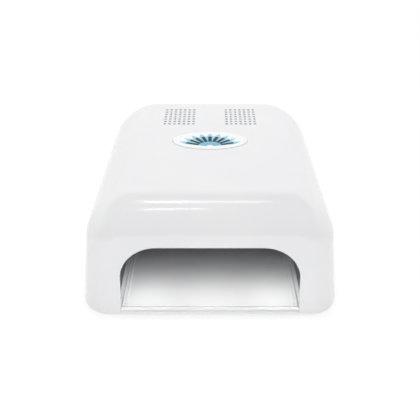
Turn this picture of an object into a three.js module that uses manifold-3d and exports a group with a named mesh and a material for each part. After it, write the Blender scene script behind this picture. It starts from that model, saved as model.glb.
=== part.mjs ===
// LED nail lamp for curing gel polish: a glossy open-fronted housing over a bright reflector ringed by LED boards,
// a pull-out tray as its floor, and a power rocker, timer buttons and a DC inlet on the back.
// Millimetres, +Z up, the mouth faces -Y, and the origin is on the table under the middle of the footprint.
import * as THREE from "three";
import { mergeVertices } from "three/addons/utils/BufferGeometryUtils.js";
import Module from "manifold-3d";

const wasm = await Module();
wasm.setup();

// Clearances
const fit = {
  seat: 0.05, // between flat faces that rest on each other
  gap: 0.3, // between neighbouring pieces
  running: 0.4, // beside a piece that slides or turns
  overrun: 3, // how far a cutter runs past the face that it opens
};

// Housing: one moulded shell, its section scaled along its depth
const housing = {
  width: 225,
  depth: 265,
  height: 96.5,
  wall: 2.6,
  frontDrop: 17.9, // from the roof down to the top of the flat front face, where the front roll starts
  rollDepth: 46,
  rollStartShare: 0.08, // the roll leaves the front face at a crease, this far into its quarter ellipse
  frontCornerWidth: 25,
  frontCornerDepth: 34,
  rearMargin: 13.5, // how far the flat rear face runs past the control panel's ends
  rearCornerDepth: 38,
  rearRollDepth: 16.6,
  rearDrop: 3.2,
  shoulder: 36.5, // the upper corners' radius over the middle; both ends are tighter
  frontShoulder: 19,
  rearShoulder: 28,
  sideDraft: 6.7,
};

// Mouth: the arched opening that the hand goes into, with a jamb on each side and a lintel over it
const mouth = { jamb: 38, flare: 2, lintel: 11.9, corner: 31.4 };

// Vents: two grids of slots in the top, over the electronics
const vents = { columns: 7, rows: 7, pitchX: 5, pitchY: 7, slotWidth: 3.2, slotLength: 3.8, inner: 17.6, rear: 26.5 };

// Badge: a bare oval plate in a shallow recess in front of the vents
const badge = { width: 74, depth: 43.5, thickness: 1.1, recess: 0.6, rearSetback: 91.5 };

const foot = { radius: 7, height: 2.5, stubRadius: 2.4, stubHeight: 1.6, insetX: 20, insetY: 30 };
const base = { thickness: 2.4, ventSlots: 6, ventWidth: 3, ventLength: 44, ventPitch: 12 };
const boss = { radius: 4.5, setIn: 13, frontSetback: 48, rearSetback: 42, holeDepth: 14 };
const screw = { shank: 1.4, length: 11, headRadius: 2.9, headHeight: 1.1, slot: 0.7, slotDepth: 0.5 };
const smallScrew = { shank: 1, length: 5, headRadius: 1.9, headHeight: 0.9, slot: 0.5, slotDepth: 0.4 };
const flangeScrew = { ...smallScrew, length: 2.8 };

// Tray: the floor of the mouth, which pulls out to the front between two rails
const tray = {
  sideGap: 0.6,
  rearGap: 10.1, // to the back of the reflector
  floor: 1.5,
  ribInset: 2.6,
  ribWidth: 1.6,
  ribHeight: 1,
  lipDepth: 4.4,
  lipProud: 2,
  lipTop: 7.9,
  lipBottom: 3.6,
  lipRound: 1.2,
  railWidth: 2,
  railHeight: 6,
};

// Reflector: a bent aluminium sheet over the mouth's tunnel, with a plate across its back
const reflector = { sheet: 0.8, clear: 2.6, frontGap: 2.5, flange: 11, screwSetback: 30 };

const board = { thickness: 1.6 };
const led = { radius: 2.5, windowRadius: 3, height: 2.2, domeHeight: 1.2, domeShoulderShare: 0.6 };
const topBoard = { edgeClear: 0.5, columns: 3, rows: 4, ledMargin: 14 };
const sideBoard = { height: 20, rows: 4, centreHeight: 25 };
const longBoards = { endClear: 18.5, ledMargin: 15 };
const backBoard = { width: 60, height: 20, columns: 2, ledMargin: 13, centreHeight: 38 };

// Driver: the board that feeds and times the LEDs, on posts at the back
const driver = {
  width: 136,
  length: 46,
  frontClear: 15.3,
  rearClear: 9,
  postHeight: 7.4,
  postRadius: 3,
  cornerInset: 5,
};
const choke = { radius: 9, bore: 4.2, height: 8 };
const capacitor = { radius: 5, height: 15 };
const heatSink = { width: 26, depth: 14, height: 20, fins: 6, finThickness: 1.4, plate: 3 };
const transistor = { width: 10, depth: 4.4, height: 15 };
const relay = { width: 19, depth: 15, height: 14.5 };
const timerChip = { width: 20, depth: 7, height: 3.2 };
const socket = { width: 12, depth: 6, height: 7 };
// Where each stands on the driver board, as shares of the board's width and length from its middle
const driverShares = {
  choke: [-0.32, 0.15],
  relay: [-0.13, 0.16],
  capacitor: [0.04, 0.18],
  heatSink: [0.26, -0.05],
  timerChip: [-0.08, -0.26],
  ledSocket: [0.22, -0.34],
  panelSocket: [-0.3, -0.34],
  sideLead: [0.41, -0.4],
  backLead: [0.06, -0.36],
  switchLead: [0.43, 0],
};

// Control panel: a plate in a recess of the rear wall, with everything on it placed from its middle
const panel = {
  width: 136,
  height: 34,
  corner: 6,
  thickness: 1.5,
  recess: 1.6,
  centreHeight: 50,
  ledge: 6, // what is left of the wall under the panel's ends, and under its long edges
  sill: 3.5,
  bossRadius: 2.6,
  bossLength: 4,
};
const rocker = {
  inset: 22, // from the panel's end to the rocker's middle
  bezelWidth: 15,
  bezelHeight: 21,
  bezelProud: 1.6,
  bodyWidth: 12.6,
  bodyHeight: 18.8,
  bodyDepth: 16,
  width: 9.2,
  radius: 7.9,
  pivotDepth: 3.4,
  pinRadius: 1.1,
  pinLength: 0.8,
  tipRise: 3.6,
  middleRise: 2,
  tilt: 10,
  terminalWidth: 4.8,
  terminalThickness: 0.8,
  terminalLength: 7,
  terminalPitch: 7,
};
const button = {
  pitch: 18,
  radius: 4.5,
  proud: 1.8,
  crown: 0.6,
  travel: 1.2,
  flangeRadius: 5.8,
  flange: 1,
  stemRadius: 1.7,
  stemReach: 0.6, // how far the stem stands in its switch at rest
};
const controlBoard = { width: 72, height: 20, postRadius: 2.4, postX: 32 };
const tact = { side: 6, height: 3.4 };
const jack = {
  inset: 22, // from the panel's other end to the inlet's middle
  barrelRadius: 5.5,
  boreRadius: 3.1,
  boreDepth: 9,
  pinRadius: 1,
  pinLength: 8,
  proud: 2.6,
  flangeRadius: 7.5,
  flange: 2,
  length: 13,
  nutRadius: 7.4,
  nutHeight: 2,
};

// Leads, and how far each bows out on its way
const wire = { radius: 1.2, bow: 10, steps: 12, rise: 8, fromEdge: 6 };

// Counts of facets
const facets = {
  roll: 10,
  corner: 8,
  rearCorner: 7,
  mouthCorner: 5,
  oval: 9,
  round: 16,
  small: 8,
  bead: 6,
  roundedCorner: 1,
  vent: 8,
  wire: 3,
  nut: 6,
};

// Places that follow from the sizes above, in the frame of the housing, whose middle is at Y 0
const ground = foot.height;
const frontY = -housing.depth / 2;
const rearY = housing.depth / 2;
const roofTop = ground + housing.height;
const baseTop = ground + base.thickness;
const frontHeight = housing.height - housing.frontDrop;
const mouthHalf = housing.width / 2 - mouth.jamb;
const mouthHeight = frontHeight - mouth.lintel;
const rearCornerWidth = (housing.width - panel.width) / 2 - housing.rearMargin;
const trayHalf = mouthHalf + mouth.flare - tray.sideGap;
const trayBottom = baseTop + fit.gap;
const trayFloor = trayBottom + tray.floor;
const railInside = trayHalf + fit.running;
const railOutside = railInside + tray.railWidth;
const reflectorHalf = mouthHalf + mouth.flare + reflector.clear;
const reflectorTop = ground + mouthHeight + reflector.clear;
const reflectorCorner = mouth.corner + reflector.clear;
const reflectorFront = frontY + housing.wall + reflector.frontGap;
const driverRear = rearY - housing.wall - driver.rearClear;
const driverY = driverRear - driver.length / 2;
const reflectorRear = driverRear - driver.length - driver.frontClear;
const topBoardWidth = 2 * (reflectorHalf - reflectorCorner - topBoard.edgeClear);
const longBoardLength = reflectorRear - reflectorFront - 2 * longBoards.endClear;
const bossX = housing.width / 2 - housing.wall - boss.setIn;
const bossFrontY = frontY + boss.frontSetback;
const bossRearY = rearY - boss.rearSetback;
const driverBottom = baseTop + driver.postHeight + fit.gap;
const driverTop = driverBottom + board.thickness;
const panelInner = -panel.thickness;
const rockerX = panel.width / 2 - rocker.inset;
const jackX = jack.inset - panel.width / 2;
const flangeFace = panelInner - fit.gap - button.flange;
const tactFace = flangeFace - button.travel - fit.gap;
const boardFace = tactFace - tact.height - fit.seat;

const timers = ["short", "long", "hold"];
const degrees = Math.PI / 180;

// Materials
const gloss = (color) => new THREE.MeshStandardMaterial({ color, roughness: 0.15, metalness: 0 });
const matt = (color) => new THREE.MeshStandardMaterial({ color, roughness: 0.6, metalness: 0 });
const metal = (color, roughness) => new THREE.MeshStandardMaterial({ color, roughness, metalness: 1 });
const finish = {
  housing: gloss(0xececee),
  tray: gloss(0xe9e9ea),
  base: matt(0xdcdddf),
  badge: gloss(0xf6f8fa),
  rubber: matt(0x2a2a2c),
  steel: metal(0xb4b6b8, 0.35),
  reflector: metal(0xd8dadc, 0.2),
  circuit: matt(0xe8ebe6),
  greenCircuit: matt(0x1f6b45),
  black: matt(0x1b1b1d),
  panel: matt(0xc9cbce),
  switchBody: matt(0x17181a),
  rocker: gloss(0x1d1e21),
  button: gloss(0xf1f2f4),
  aluminium: metal(0xa9acb0, 0.45),
  copper: metal(0xb3673c, 0.4),
  relay: gloss(0x2c4d86),
  socket: gloss(0xf0efe9),
  can: gloss(0x24304a),
  redWire: matt(0xb52b27),
  blackWire: matt(0x232325),
  greyWire: matt(0x9a9da1),
};

// Geometry helpers
const mergeTolerance = 1e-4;

// A closed geometry as a solid that can be joined and cut.
function solidOf(geometry) {
  const loose = geometry.index ? geometry.toNonIndexed() : geometry;
  const bare = new THREE.BufferGeometry().setAttribute("position", loose.getAttribute("position"));
  const merged = mergeVertices(bare, mergeTolerance);
  const triVerts = new Uint32Array(merged.index.array);
  const vertProperties = merged.attributes.position.array;
  return new wasm.Manifold(new wasm.Mesh({ numProp: 3, vertProperties, triVerts }));
}

// The vertices and triangles of a solid as a geometry.
function geometryOf(solid) {
  const { vertProperties, triVerts } = solid.getMesh();
  const geometry = new THREE.BufferGeometry();
  geometry.setAttribute("position", new THREE.BufferAttribute(new Float32Array(vertProperties), 3));
  geometry.setIndex(new THREE.BufferAttribute(new Uint32Array(triVerts), 1));
  const faceted = geometry.toNonIndexed();
  faceted.computeVertexNormals();
  return faceted;
}

function joined(solids) {
  return solids.reduce((whole, piece) => whole.add(piece));
}

function cut(solid, cutters) {
  return cutters.reduce((left, cutter) => left.subtract(cutter), solid);
}

function box([x0, x1], [y0, y1], [z0, z1]) {
  const geometry = new THREE.BoxGeometry(x1 - x0, y1 - y0, z1 - z0);
  return solidOf(geometry.translate((x0 + x1) / 2, (y0 + y1) / 2, (z0 + z1) / 2));
}

// A round rod from one place to another along an axis, centred on the two other coordinates.
function rod(axis, radius, [start, end], [u, v], sides = facets.round) {
  const geometry = new THREE.CylinderGeometry(radius, radius, end - start, sides);
  const middle = (start + end) / 2;
  if (axis === "x") return solidOf(geometry.rotateZ(-Math.PI / 2).translate(middle, u, v));
  if (axis === "y") return solidOf(geometry.translate(u, middle, v));
  return solidOf(geometry.rotateX(Math.PI / 2).translate(u, v, middle));
}

const axisX = new THREE.Vector3(1, 0, 0);
const axisY = new THREE.Vector3(0, 1, 0);
const axisZ = new THREE.Vector3(0, 0, 1);

// An outline pushed along X, Y or Z. Its own two coordinates are Y and Z, X and Z, or X and Y.
function prism(axis, shape, [start, end], curveSegments = facets.small) {
  const geometry = new THREE.ExtrudeGeometry(shape, { depth: end - start, bevelEnabled: false, curveSegments });
  const turned = new THREE.Matrix4();
  if (axis === "x") turned.makeBasis(axisY, axisZ, axisX);
  if (axis === "y") turned.makeBasis(axisX, axisZ, axisY.clone().negate());
  geometry.applyMatrix4(turned);
  if (axis === "x") return solidOf(geometry.translate(start, 0, 0));
  if (axis === "y") return solidOf(geometry.translate(0, end, 0));
  return solidOf(geometry.translate(0, 0, start));
}

function roundedRectangle(width, height, radius, [u, v] = [0, 0]) {
  const shape = new THREE.Shape();
  const [a, b] = [width / 2 - radius, height / 2 - radius];
  shape.absarc(u + a, v + b, radius, 0, Math.PI / 2);
  shape.absarc(u - a, v + b, radius, Math.PI / 2, Math.PI);
  shape.absarc(u - a, v - b, radius, Math.PI, Math.PI * 1.5);
  shape.absarc(u + a, v - b, radius, Math.PI * 1.5, Math.PI * 2);
  return shape;
}

function sheetShape(points) {
  return new THREE.Shape(points.map(([u, v]) => new THREE.Vector2(u, v)));
}

// Housing form
const share = (t) => Math.min(Math.max(t, 0), 1);
const quarterEllipse = (t) => Math.sqrt(1 - (1 - share(t)) ** 2);

// How far the front roll has risen at a share of its depth. It starts part of the way up its ellipse, at a crease.
function rollRise(t) {
  const start = housing.rollStartShare;
  const from = quarterEllipse(start / (1 + start));
  return (quarterEllipse((share(t) + start) / (1 + start)) - from) / (1 - from);
}

// The section's outline, base to base over the top, moved inwards by inset and carried below the base by skirt.
function sectionOutline(inset, skirt, shoulder) {
  const half = housing.width / 2 - inset;
  const top = housing.height - inset;
  const radius = shoulder - inset;
  const shoulderX = half - housing.sideDraft - radius;
  const side = skirt > 0 ? [[half, -skirt], [half, 0]] : [[half, 0]];
  for (let i = 0; i <= facets.corner; i++) {
    const angle = (i / facets.corner) * (Math.PI / 2);
    side.push([shoulderX + radius * Math.cos(angle), top - radius + radius * Math.sin(angle)]);
  }
  const mirrored = side.map(([x, z]) => [-x, z]).reverse();
  return [...side, ...mirrored];
}

// Where the sections stand, how far each is scaled across and up, and how round its upper corners are.
function sectionStations(inset) {
  const depth = housing.depth - 2 * inset;
  const frontWidth = housing.frontCornerWidth - inset;
  const frontDepth = housing.frontCornerDepth - inset;
  const rearWidth = rearCornerWidth - inset;
  const rearDepth = housing.rearCornerDepth - inset;
  const half = housing.width / 2 - inset;
  const top = housing.height - inset;
  const front = frontHeight - inset;
  const places = [];
  for (let i = 0; i <= facets.roll; i++)
    places.push(housing.rollDepth * (1 - Math.cos((i / facets.roll) * (Math.PI / 2))));
  for (let i = facets.rearCorner; i >= 0; i--)
    places.push(depth - rearDepth * (1 - Math.cos((i / facets.rearCorner) * (Math.PI / 2))));
  return places.map((place) => {
    const frontLoss = frontWidth * (1 - quarterEllipse(place / frontDepth));
    const rearLoss = rearWidth * (1 - quarterEllipse((depth - place) / rearDepth));
    const frontBend = (housing.shoulder - housing.frontShoulder) * (1 - quarterEllipse(place / housing.rollDepth));
    const rearBend = (housing.shoulder - housing.rearShoulder) * (1 - quarterEllipse((depth - place) / rearDepth));
    const rise = front + (top - front) * rollRise(place / housing.rollDepth);
    const drop = housing.rearDrop * (1 - quarterEllipse((depth - place) / housing.rearRollDepth));
    return {
      y: frontY + inset + place,
      across: (half - frontLoss - rearLoss) / half,
      up: (rise - drop) / top,
      shoulder: housing.shoulder - frontBend - rearBend,
    };
  });
}

// The housing's form as a solid, moved inwards by inset on every side but the base.
function housingForm(inset, skirt = 0) {
  const stations = sectionStations(inset);
  const rings = stations.map(({ y, across, up, shoulder }) =>
    sectionOutline(inset, skirt, shoulder).map(([x, z]) => [x * across, y, ground + z * up]),
  );
  const count = rings[0].length;
  const faces = [];
  for (let i = 0; i + 1 < stations.length; i++)
    for (let j = 0; j < count; j++) {
      const [a, b] = [i * count + j, i * count + ((j + 1) % count)];
      faces.push([a, a + count, b + count], [a, b + count, b]);
    }
  const last = (stations.length - 1) * count;
  for (let j = 1; j + 1 < count; j++) {
    faces.push([0, j, j + 1]);
    faces.push([last, last + j + 1, last + j]);
  }
  const geometry = new THREE.BufferGeometry();
  geometry.setAttribute("position", new THREE.Float32BufferAttribute(rings.flat(2), 3));
  geometry.setIndex(faces.flat());
  return solidOf(geometry);
}

// An arch of the mouth's kind as an outline in X and Z: straight flared sides, round upper corners, flat top.
function archShape(half, flare, bottom, top, corner) {
  const shape = new THREE.Shape();
  shape.moveTo(-half - flare, bottom);
  shape.lineTo(half + flare, bottom);
  shape.lineTo(half, top - corner);
  shape.absarc(half - corner, top - corner, corner, 0, Math.PI / 2);
  shape.absarc(-half + corner, top - corner, corner, Math.PI / 2, Math.PI);
  return shape;
}

// One vent: an oval with flat ends, longer front to back.
function ventShape([x, y]) {
  const corners = Array.from({ length: facets.vent }, (_, i) => {
    const angle = ((i + 1 / 2) / facets.vent) * Math.PI * 2;
    const stretch = 1 / Math.cos(Math.PI / facets.vent);
    return [
      x + (vents.slotWidth / 2) * stretch * Math.cos(angle),
      y + (vents.slotLength / 2) * stretch * Math.sin(angle),
    ];
  });
  return sheetShape(corners);
}

// Both grids of vents as one cutter.
function ventSlots() {
  const cutters = [];
  for (const side of [-1, 1])
    for (let column = 0; column < vents.columns; column++)
      for (let row = 0; row < vents.rows; row++) {
        const middle = [side * (vents.inner + column * vents.pitchX), rearY - vents.rear - row * vents.pitchY];
        cutters.push(prism("z", ventShape(middle), [roofTop - 2 * housing.wall, roofTop + fit.overrun]));
      }
  return joined(cutters);
}

const badgeY = rearY - badge.rearSetback - badge.depth / 2;

// The badge's oval, made larger all round by grow.
function badgeShape(grow) {
  const shape = new THREE.Shape();
  shape.absellipse(0, badgeY, badge.width / 2 + grow, badge.depth / 2 + grow, 0, Math.PI * 2);
  return shape;
}

const bossPlaces = [
  [-bossX, bossFrontY],
  [bossX, bossFrontY],
  [-bossX, bossRearY],
  [bossX, bossRearY],
];
const panelZ = panel.centreHeight;
const panelScrewX = panel.width / 2 - panel.ledge / 2;

function makeHousing() {
  const form = housingForm(0);
  const hollow = housingForm(housing.wall, fit.overrun);
  const posts = bossPlaces.map((place) => rod("z", boss.radius, [baseTop + fit.seat, roofTop], place).intersect(form));
  const panelBosses = [-1, 1].map((side) => {
    const length = [rearY - housing.wall - panel.bossLength, rearY - panel.recess];
    return rod("y", panel.bossRadius, length, [side * panelScrewX, panelZ], facets.small);
  });
  const pilots = bossPlaces.map((place) => {
    const depth = [baseTop - fit.overrun, baseTop + boss.holeDepth];
    return rod("z", screw.shank + fit.gap, depth, place, facets.small);
  });
  const panelPilots = [-1, 1].map((side) => {
    const depth = [rearY - housing.wall - panel.bossLength - fit.overrun, rearY];
    return rod("y", smallScrew.shank + fit.gap, depth, [side * panelScrewX, panelZ], facets.small);
  });
  const [recessWidth, recessHeight] = [panel.width + 2 * fit.gap, panel.height + 2 * fit.gap];
  const recess = roundedRectangle(recessWidth, recessHeight, panel.corner + fit.gap, [0, panelZ]);
  const [windowWidth, windowHeight] = [panel.width - 2 * panel.ledge, panel.height - 2 * panel.sill];
  const windowShape = roundedRectangle(windowWidth, windowHeight, panel.corner / 2, [0, panelZ]);
  const opening = archShape(mouthHalf, mouth.flare, ground - fit.overrun, ground + mouthHeight, mouth.corner);
  const shell = joined([form.subtract(hollow), ...posts, ...panelBosses]);
  return cut(shell, [
    prism("y", opening, [frontY - fit.overrun, frontY + housing.wall + fit.overrun], facets.mouthCorner),
    ventSlots(),
    prism("z", badgeShape(fit.gap), [roofTop - badge.recess, roofTop + fit.overrun], facets.oval),
    prism("y", recess, [rearY - panel.recess, rearY + fit.overrun], facets.roundedCorner),
    prism("y", windowShape, [rearY - housing.wall - fit.overrun, rearY], facets.roundedCorner),
    ...pilots,
    ...panelPilots,
  ]);
}

function makeBadge() {
  const bottom = roofTop - badge.recess + fit.seat;
  return prism("z", badgeShape(0), [bottom, bottom + badge.thickness], facets.oval);
}

const footPlaces = [-1, 1].flatMap((side) =>
  [frontY + foot.insetY, rearY - foot.insetY].map((y) => [side * (bossX - foot.insetX / 2), y]),
);
const driverPosts = [-1, 1].flatMap((side) =>
  [-1, 1].map((end) => [
    side * (driver.width / 2 - driver.cornerInset),
    driverY + end * (driver.length / 2 - driver.cornerInset),
  ]),
);
const reflectorScrews = [-1, 1].flatMap((side) =>
  [reflectorFront + reflector.screwSetback, reflectorRear - reflector.screwSetback].map((y) => [
    side * (reflectorHalf + reflector.sheet + reflector.flange / 2 + fit.gap),
    y,
  ]),
);

function makeBase() {
  const slab = [-housing.width, housing.width];
  const plate = housingForm(housing.wall + fit.gap, fit.overrun).intersect(
    box(slab, [-housing.depth, housing.depth], [ground, baseTop]),
  );
  const rails = [-1, 1].map((side) => {
    const across = [side * railInside, side * railOutside].sort((a, b) => a - b);
    return box(across, [reflectorFront, reflectorRear - fit.gap], [baseTop - fit.overrun / 2, baseTop + tray.railHeight]);
  });
  const posts = driverPosts.map((place) => {
    return rod("z", driver.postRadius, [baseTop - fit.seat, baseTop + driver.postHeight], place, facets.small);
  });
  const cutters = [
    ...bossPlaces.map((place) => rod("z", screw.shank + fit.gap, [0, roofTop], place, facets.small)),
    ...bossPlaces.map((place) => {
      const depth = [0, ground + screw.headHeight + fit.gap];
      return rod("z", screw.headRadius + fit.gap, depth, place, facets.small);
    }),
    ...footPlaces.map((place) => rod("z", foot.stubRadius + fit.gap, [0, roofTop], place, facets.small)),
    ...driverPosts.map((place) => rod("z", smallScrew.shank + fit.gap, [baseTop, roofTop], place, facets.small)),
    ...reflectorScrews.map((place) => rod("z", smallScrew.shank + fit.gap, [0, roofTop], place, facets.small)),
  ];
  const firstSlot = -((base.ventSlots - 1) / 2) * base.ventPitch;
  for (let i = 0; i < base.ventSlots; i++) {
    const slot = roundedRectangle(base.ventWidth, base.ventLength, base.ventWidth / 2, [
      firstSlot + i * base.ventPitch,
      driverY,
    ]);
    cutters.push(prism("z", slot, [0, baseTop + fit.overrun], facets.roundedCorner));
  }
  return cut(joined([plate, ...rails, ...posts]), cutters);
}

// A rubber foot with a stub that plugs into the base, standing on its own Z 0.
function makeFoot() {
  const pad = rod("z", foot.radius, [0, foot.height - fit.seat], [0, 0]);
  const stubTop = foot.height + foot.stubHeight;
  return pad.add(rod("z", foot.stubRadius, [foot.height / 2, stubTop], [0, 0], facets.small));
}

// A screw that points up its own +Z, with the underside of its head at Z 0 and a slot across the head.
function makeScrew(size) {
  const head = rod("z", size.headRadius, [-size.headHeight, 0], [0, 0], facets.small);
  const shank = rod("z", size.shank, [-size.headHeight / 2, size.length], [0, 0], facets.bead);
  const across = [-size.headRadius * 2, size.headRadius * 2];
  const slot = box(across, [-size.slot / 2, size.slot / 2], [
    -size.headHeight - fit.overrun,
    -size.headHeight + size.slotDepth,
  ]);
  return head.add(shank).subtract(slot);
}

const lipFront = frontY - tray.lipProud;
const trayRear = reflectorRear - tray.rearGap;

function makeTray() {
  const plate = box([-trayHalf, trayHalf], [lipFront + tray.lipDepth / 2, trayRear], [trayBottom, trayFloor]);
  const ribs = [-1, 1].map((side) => {
    const outside = trayHalf - tray.ribInset;
    const across = [side * outside, side * (outside - tray.ribWidth)].sort((a, b) => a - b);
    return box(across, [lipFront + tray.lipDepth / 2, trayRear], [trayBottom, trayFloor + tray.ribHeight]);
  });
  const lip = new THREE.Shape();
  const [back, top, round] = [lipFront + tray.lipDepth, tray.lipTop, tray.lipRound];
  lip.moveTo(lipFront, tray.lipBottom);
  lip.lineTo(back, tray.lipBottom);
  lip.lineTo(back, top);
  lip.lineTo(lipFront + round, top);
  lip.absarc(lipFront + round, top - round, round, Math.PI / 2, Math.PI);
  const front = prism("x", lip, [-trayHalf, trayHalf], facets.roundedCorner);
  return joined([plate, ...ribs, front]);
}

// LED places, in the plane of each board
function rowOf(count, pitch) {
  return Array.from({ length: count }, (_, i) => (i - (count - 1) / 2) * pitch);
}

// A row that ends a margin inside both ends of its length.
function rowInside(count, length, margin) {
  return rowOf(count, (length - 2 * margin) / (count - 1));
}
const tunnelY = (reflectorFront + reflectorRear) / 2;
const topLeds = rowInside(topBoard.columns, topBoardWidth, topBoard.ledMargin).flatMap((x) =>
  rowInside(topBoard.rows, longBoardLength, longBoards.ledMargin).map((y) => [x, y]),
);
const sideLeds = rowInside(sideBoard.rows, longBoardLength, longBoards.ledMargin).map((y) => [y, 0]);
const backLeds = rowInside(backBoard.columns, backBoard.width, backBoard.ledMargin).map((x) => [x, 0]);

function makeReflector() {
  const [half, top, corner] = [reflectorHalf, reflectorTop, reflectorCorner];
  const foot = baseTop + fit.seat;
  const arcs = (grow) => {
    const radius = corner + grow;
    const points = [];
    for (const [side, from] of [
      [1, 0],
      [-1, Math.PI / 2],
    ])
      for (let i = 0; i <= facets.corner; i++) {
        const angle = from + (i / facets.corner) * (Math.PI / 2);
        points.push([side * (half - corner) + radius * Math.cos(angle), top - corner + radius * Math.sin(angle)]);
      }
    return points;
  };
  const outer = half + reflector.sheet;
  const tip = outer + reflector.flange;
  const flange = foot + reflector.sheet;
  const inside = [[half, foot], ...arcs(0), [-half, foot]];
  const outside = [[tip, foot], [tip, flange], [outer, flange], ...arcs(reflector.sheet)];
  outside.push([-outer, flange], [-tip, flange], [-tip, foot]);
  const bent = prism("y", sheetShape([...outside, ...inside.reverse()]), [reflectorFront, reflectorRear]);
  const windows = topLeds.map(([x, y]) => {
    return rod("z", led.windowRadius, [top - fit.overrun, top + fit.overrun], [x, tunnelY + y], facets.small);
  });
  for (const side of [-1, 1])
    for (const [y] of sideLeds) {
      const through = [side * (half - fit.overrun), side * (half + fit.overrun)].sort((a, b) => a - b);
      windows.push(rod("x", led.windowRadius, through, [tunnelY + y, sideBoard.centreHeight], facets.small));
    }
  const holes = reflectorScrews.map((place) => {
    return rod("z", smallScrew.shank + fit.gap, [0, flange + fit.overrun], place, facets.small);
  });
  return cut(bent, [...windows, ...holes]);
}

function makeReflectorBack() {
  const outer = reflectorHalf + reflector.sheet;
  const top = reflectorTop + reflector.sheet;
  const shape = archShape(outer, 0, baseTop + fit.seat, top, reflectorCorner + reflector.sheet);
  const start = reflectorRear + fit.gap;
  const plate = prism("y", shape, [start, start + reflector.sheet], facets.mouthCorner);
  const windows = backLeds.map(([x]) => {
    const through = [start - fit.overrun, start + fit.overrun];
    return rod("y", led.windowRadius, through, [x, backBoard.centreHeight], facets.small);
  });
  return cut(plate, windows);
}

// A board lying in its own XY plane with its LEDs below it. Each LED is a short barrel with a domed lens.
function makeLedBoard(width, length, places) {
  const plate = box([-width / 2, width / 2], [-length / 2, length / 2], [0, board.thickness]);
  const shoulder = led.domeHeight - led.height;
  const profile = [
    [0, -led.height],
    [led.radius * led.domeShoulderShare, (shoulder - led.height) / 2 - led.domeHeight / 4],
    [led.radius, shoulder],
    [led.radius, board.thickness / 2],
    [0, board.thickness / 2],
  ];
  const lens = new THREE.LatheGeometry(
    profile.map(([r, h]) => new THREE.Vector2(r, h)),
    facets.bead,
  );
  const leds = places.map(([x, y]) => solidOf(lens.clone().rotateX(Math.PI / 2).translate(x, y, 0)));
  return joined([plate, ...leds]);
}

// Driver board and what stands on it, each with its foot on its own Z 0
function makeDriverBoard() {
  const plate = box(
    [-driver.width / 2, driver.width / 2],
    [driverY - driver.length / 2, driverRear],
    [driverBottom, driverTop],
  );
  const holes = driverPosts.map((place) => rod("z", smallScrew.shank + fit.gap, [0, roofTop], place, facets.small));
  return cut(plate, holes);
}

function makeChoke() {
  const ring = rod("z", choke.radius, [0, choke.height], [0, 0]);
  return ring.subtract(rod("z", choke.bore, [-fit.overrun, choke.height + fit.overrun], [0, 0], facets.small));
}

function makeCan(radius, height) {
  return rod("z", radius, [0, height], [0, 0]);
}

function makeHeatSink() {
  const half = heatSink.width / 2;
  const plate = box([-half, half], [0, heatSink.plate], [0, heatSink.height]);
  const step = (heatSink.width - heatSink.finThickness) / (heatSink.fins - 1);
  const fins = Array.from({ length: heatSink.fins }, (_, i) => {
    const left = -half + i * step;
    return box([left, left + heatSink.finThickness], [heatSink.plate / 2, heatSink.depth], [0, heatSink.height]);
  });
  return joined([plate, ...fins]);
}

function makeBlock({ width, depth, height }) {
  return box([-width / 2, width / 2], [-depth / 2, depth / 2], [0, height]);
}

// Control panel and its switches, in the panel's own frame: Y 0 is its outer face and Z 0 its middle height
function makePanel() {
  const plate = prism("y", roundedRectangle(panel.width, panel.height, panel.corner), [panelInner, 0], facets.roundedCorner);
  const posts = [-1, 1].map((side) => {
    return rod("y", controlBoard.postRadius, [boardFace + fit.seat, panelInner / 2], [side * controlBoard.postX, 0]);
  });
  const through = [boardFace - fit.overrun, fit.overrun];
  const cutters = [
    prism(
      "y",
      roundedRectangle(rocker.bodyWidth + 2 * fit.gap, rocker.bodyHeight + 2 * fit.gap, fit.gap, [rockerX, 0]),
      through,
      facets.roundedCorner,
    ),
    rod("y", jack.barrelRadius + fit.gap, through, [jackX, 0]),
    ...rowOf(timers.length, button.pitch).map((x) => rod("y", button.radius + fit.gap, through, [x, 0])),
    ...[-1, 1].map((side) => rod("y", smallScrew.shank + fit.gap, through, [side * panelScrewX, 0], facets.small)),
    ...[-1, 1].map((side) => {
      const depth = [boardFace - fit.overrun, panelInner];
      return rod("y", smallScrew.shank + fit.gap, depth, [side * controlBoard.postX, 0], facets.small);
    }),
    ...[-1, 1].map((side) => {
      const depth = [-smallScrew.headHeight - fit.gap, fit.overrun];
      return rod("y", smallScrew.headRadius + fit.gap, depth, [side * panelScrewX, 0], facets.small);
    }),
  ];
  return cut(joined([plate, ...posts]), cutters);
}

const pivotY = rocker.bezelProud - rocker.pivotDepth;

function makeSwitchBody() {
  const bezel = prism(
    "y",
    roundedRectangle(rocker.bezelWidth, rocker.bezelHeight, rocker.bezelProud),
    [fit.seat, rocker.bezelProud],
    facets.roundedCorner,
  );
  const half = rocker.bodyWidth / 2;
  const body = box([-half, half], [-rocker.bodyDepth, rocker.bezelProud / 2], [
    -rocker.bodyHeight / 2,
    rocker.bodyHeight / 2,
  ]);
  const wellX = rocker.width / 2 + fit.gap;
  const wellZ = rocker.radius + fit.running;
  const well = box([-wellX, wellX], [pivotY - wellZ, rocker.bezelProud + fit.overrun], [-wellZ, wellZ]);
  const pinReach = rocker.width / 2 + rocker.pinLength + fit.gap;
  const pinHole = rod("x", rocker.pinRadius + fit.gap, [-pinReach, pinReach], [pivotY, 0], facets.small);
  const terminals = [-1, 0, 1].map((place) => {
    const z = place * rocker.terminalPitch;
    const depth = [-rocker.bodyDepth - rocker.terminalLength, -rocker.bodyDepth + fit.overrun];
    return box([-rocker.terminalWidth / 2, rocker.terminalWidth / 2], depth, [
      z - rocker.terminalThickness / 2,
      z + rocker.terminalThickness / 2,
    ]);
  });
  return joined([cut(joined([bezel, body]), [well, pinHole]), ...terminals]);
}

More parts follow.
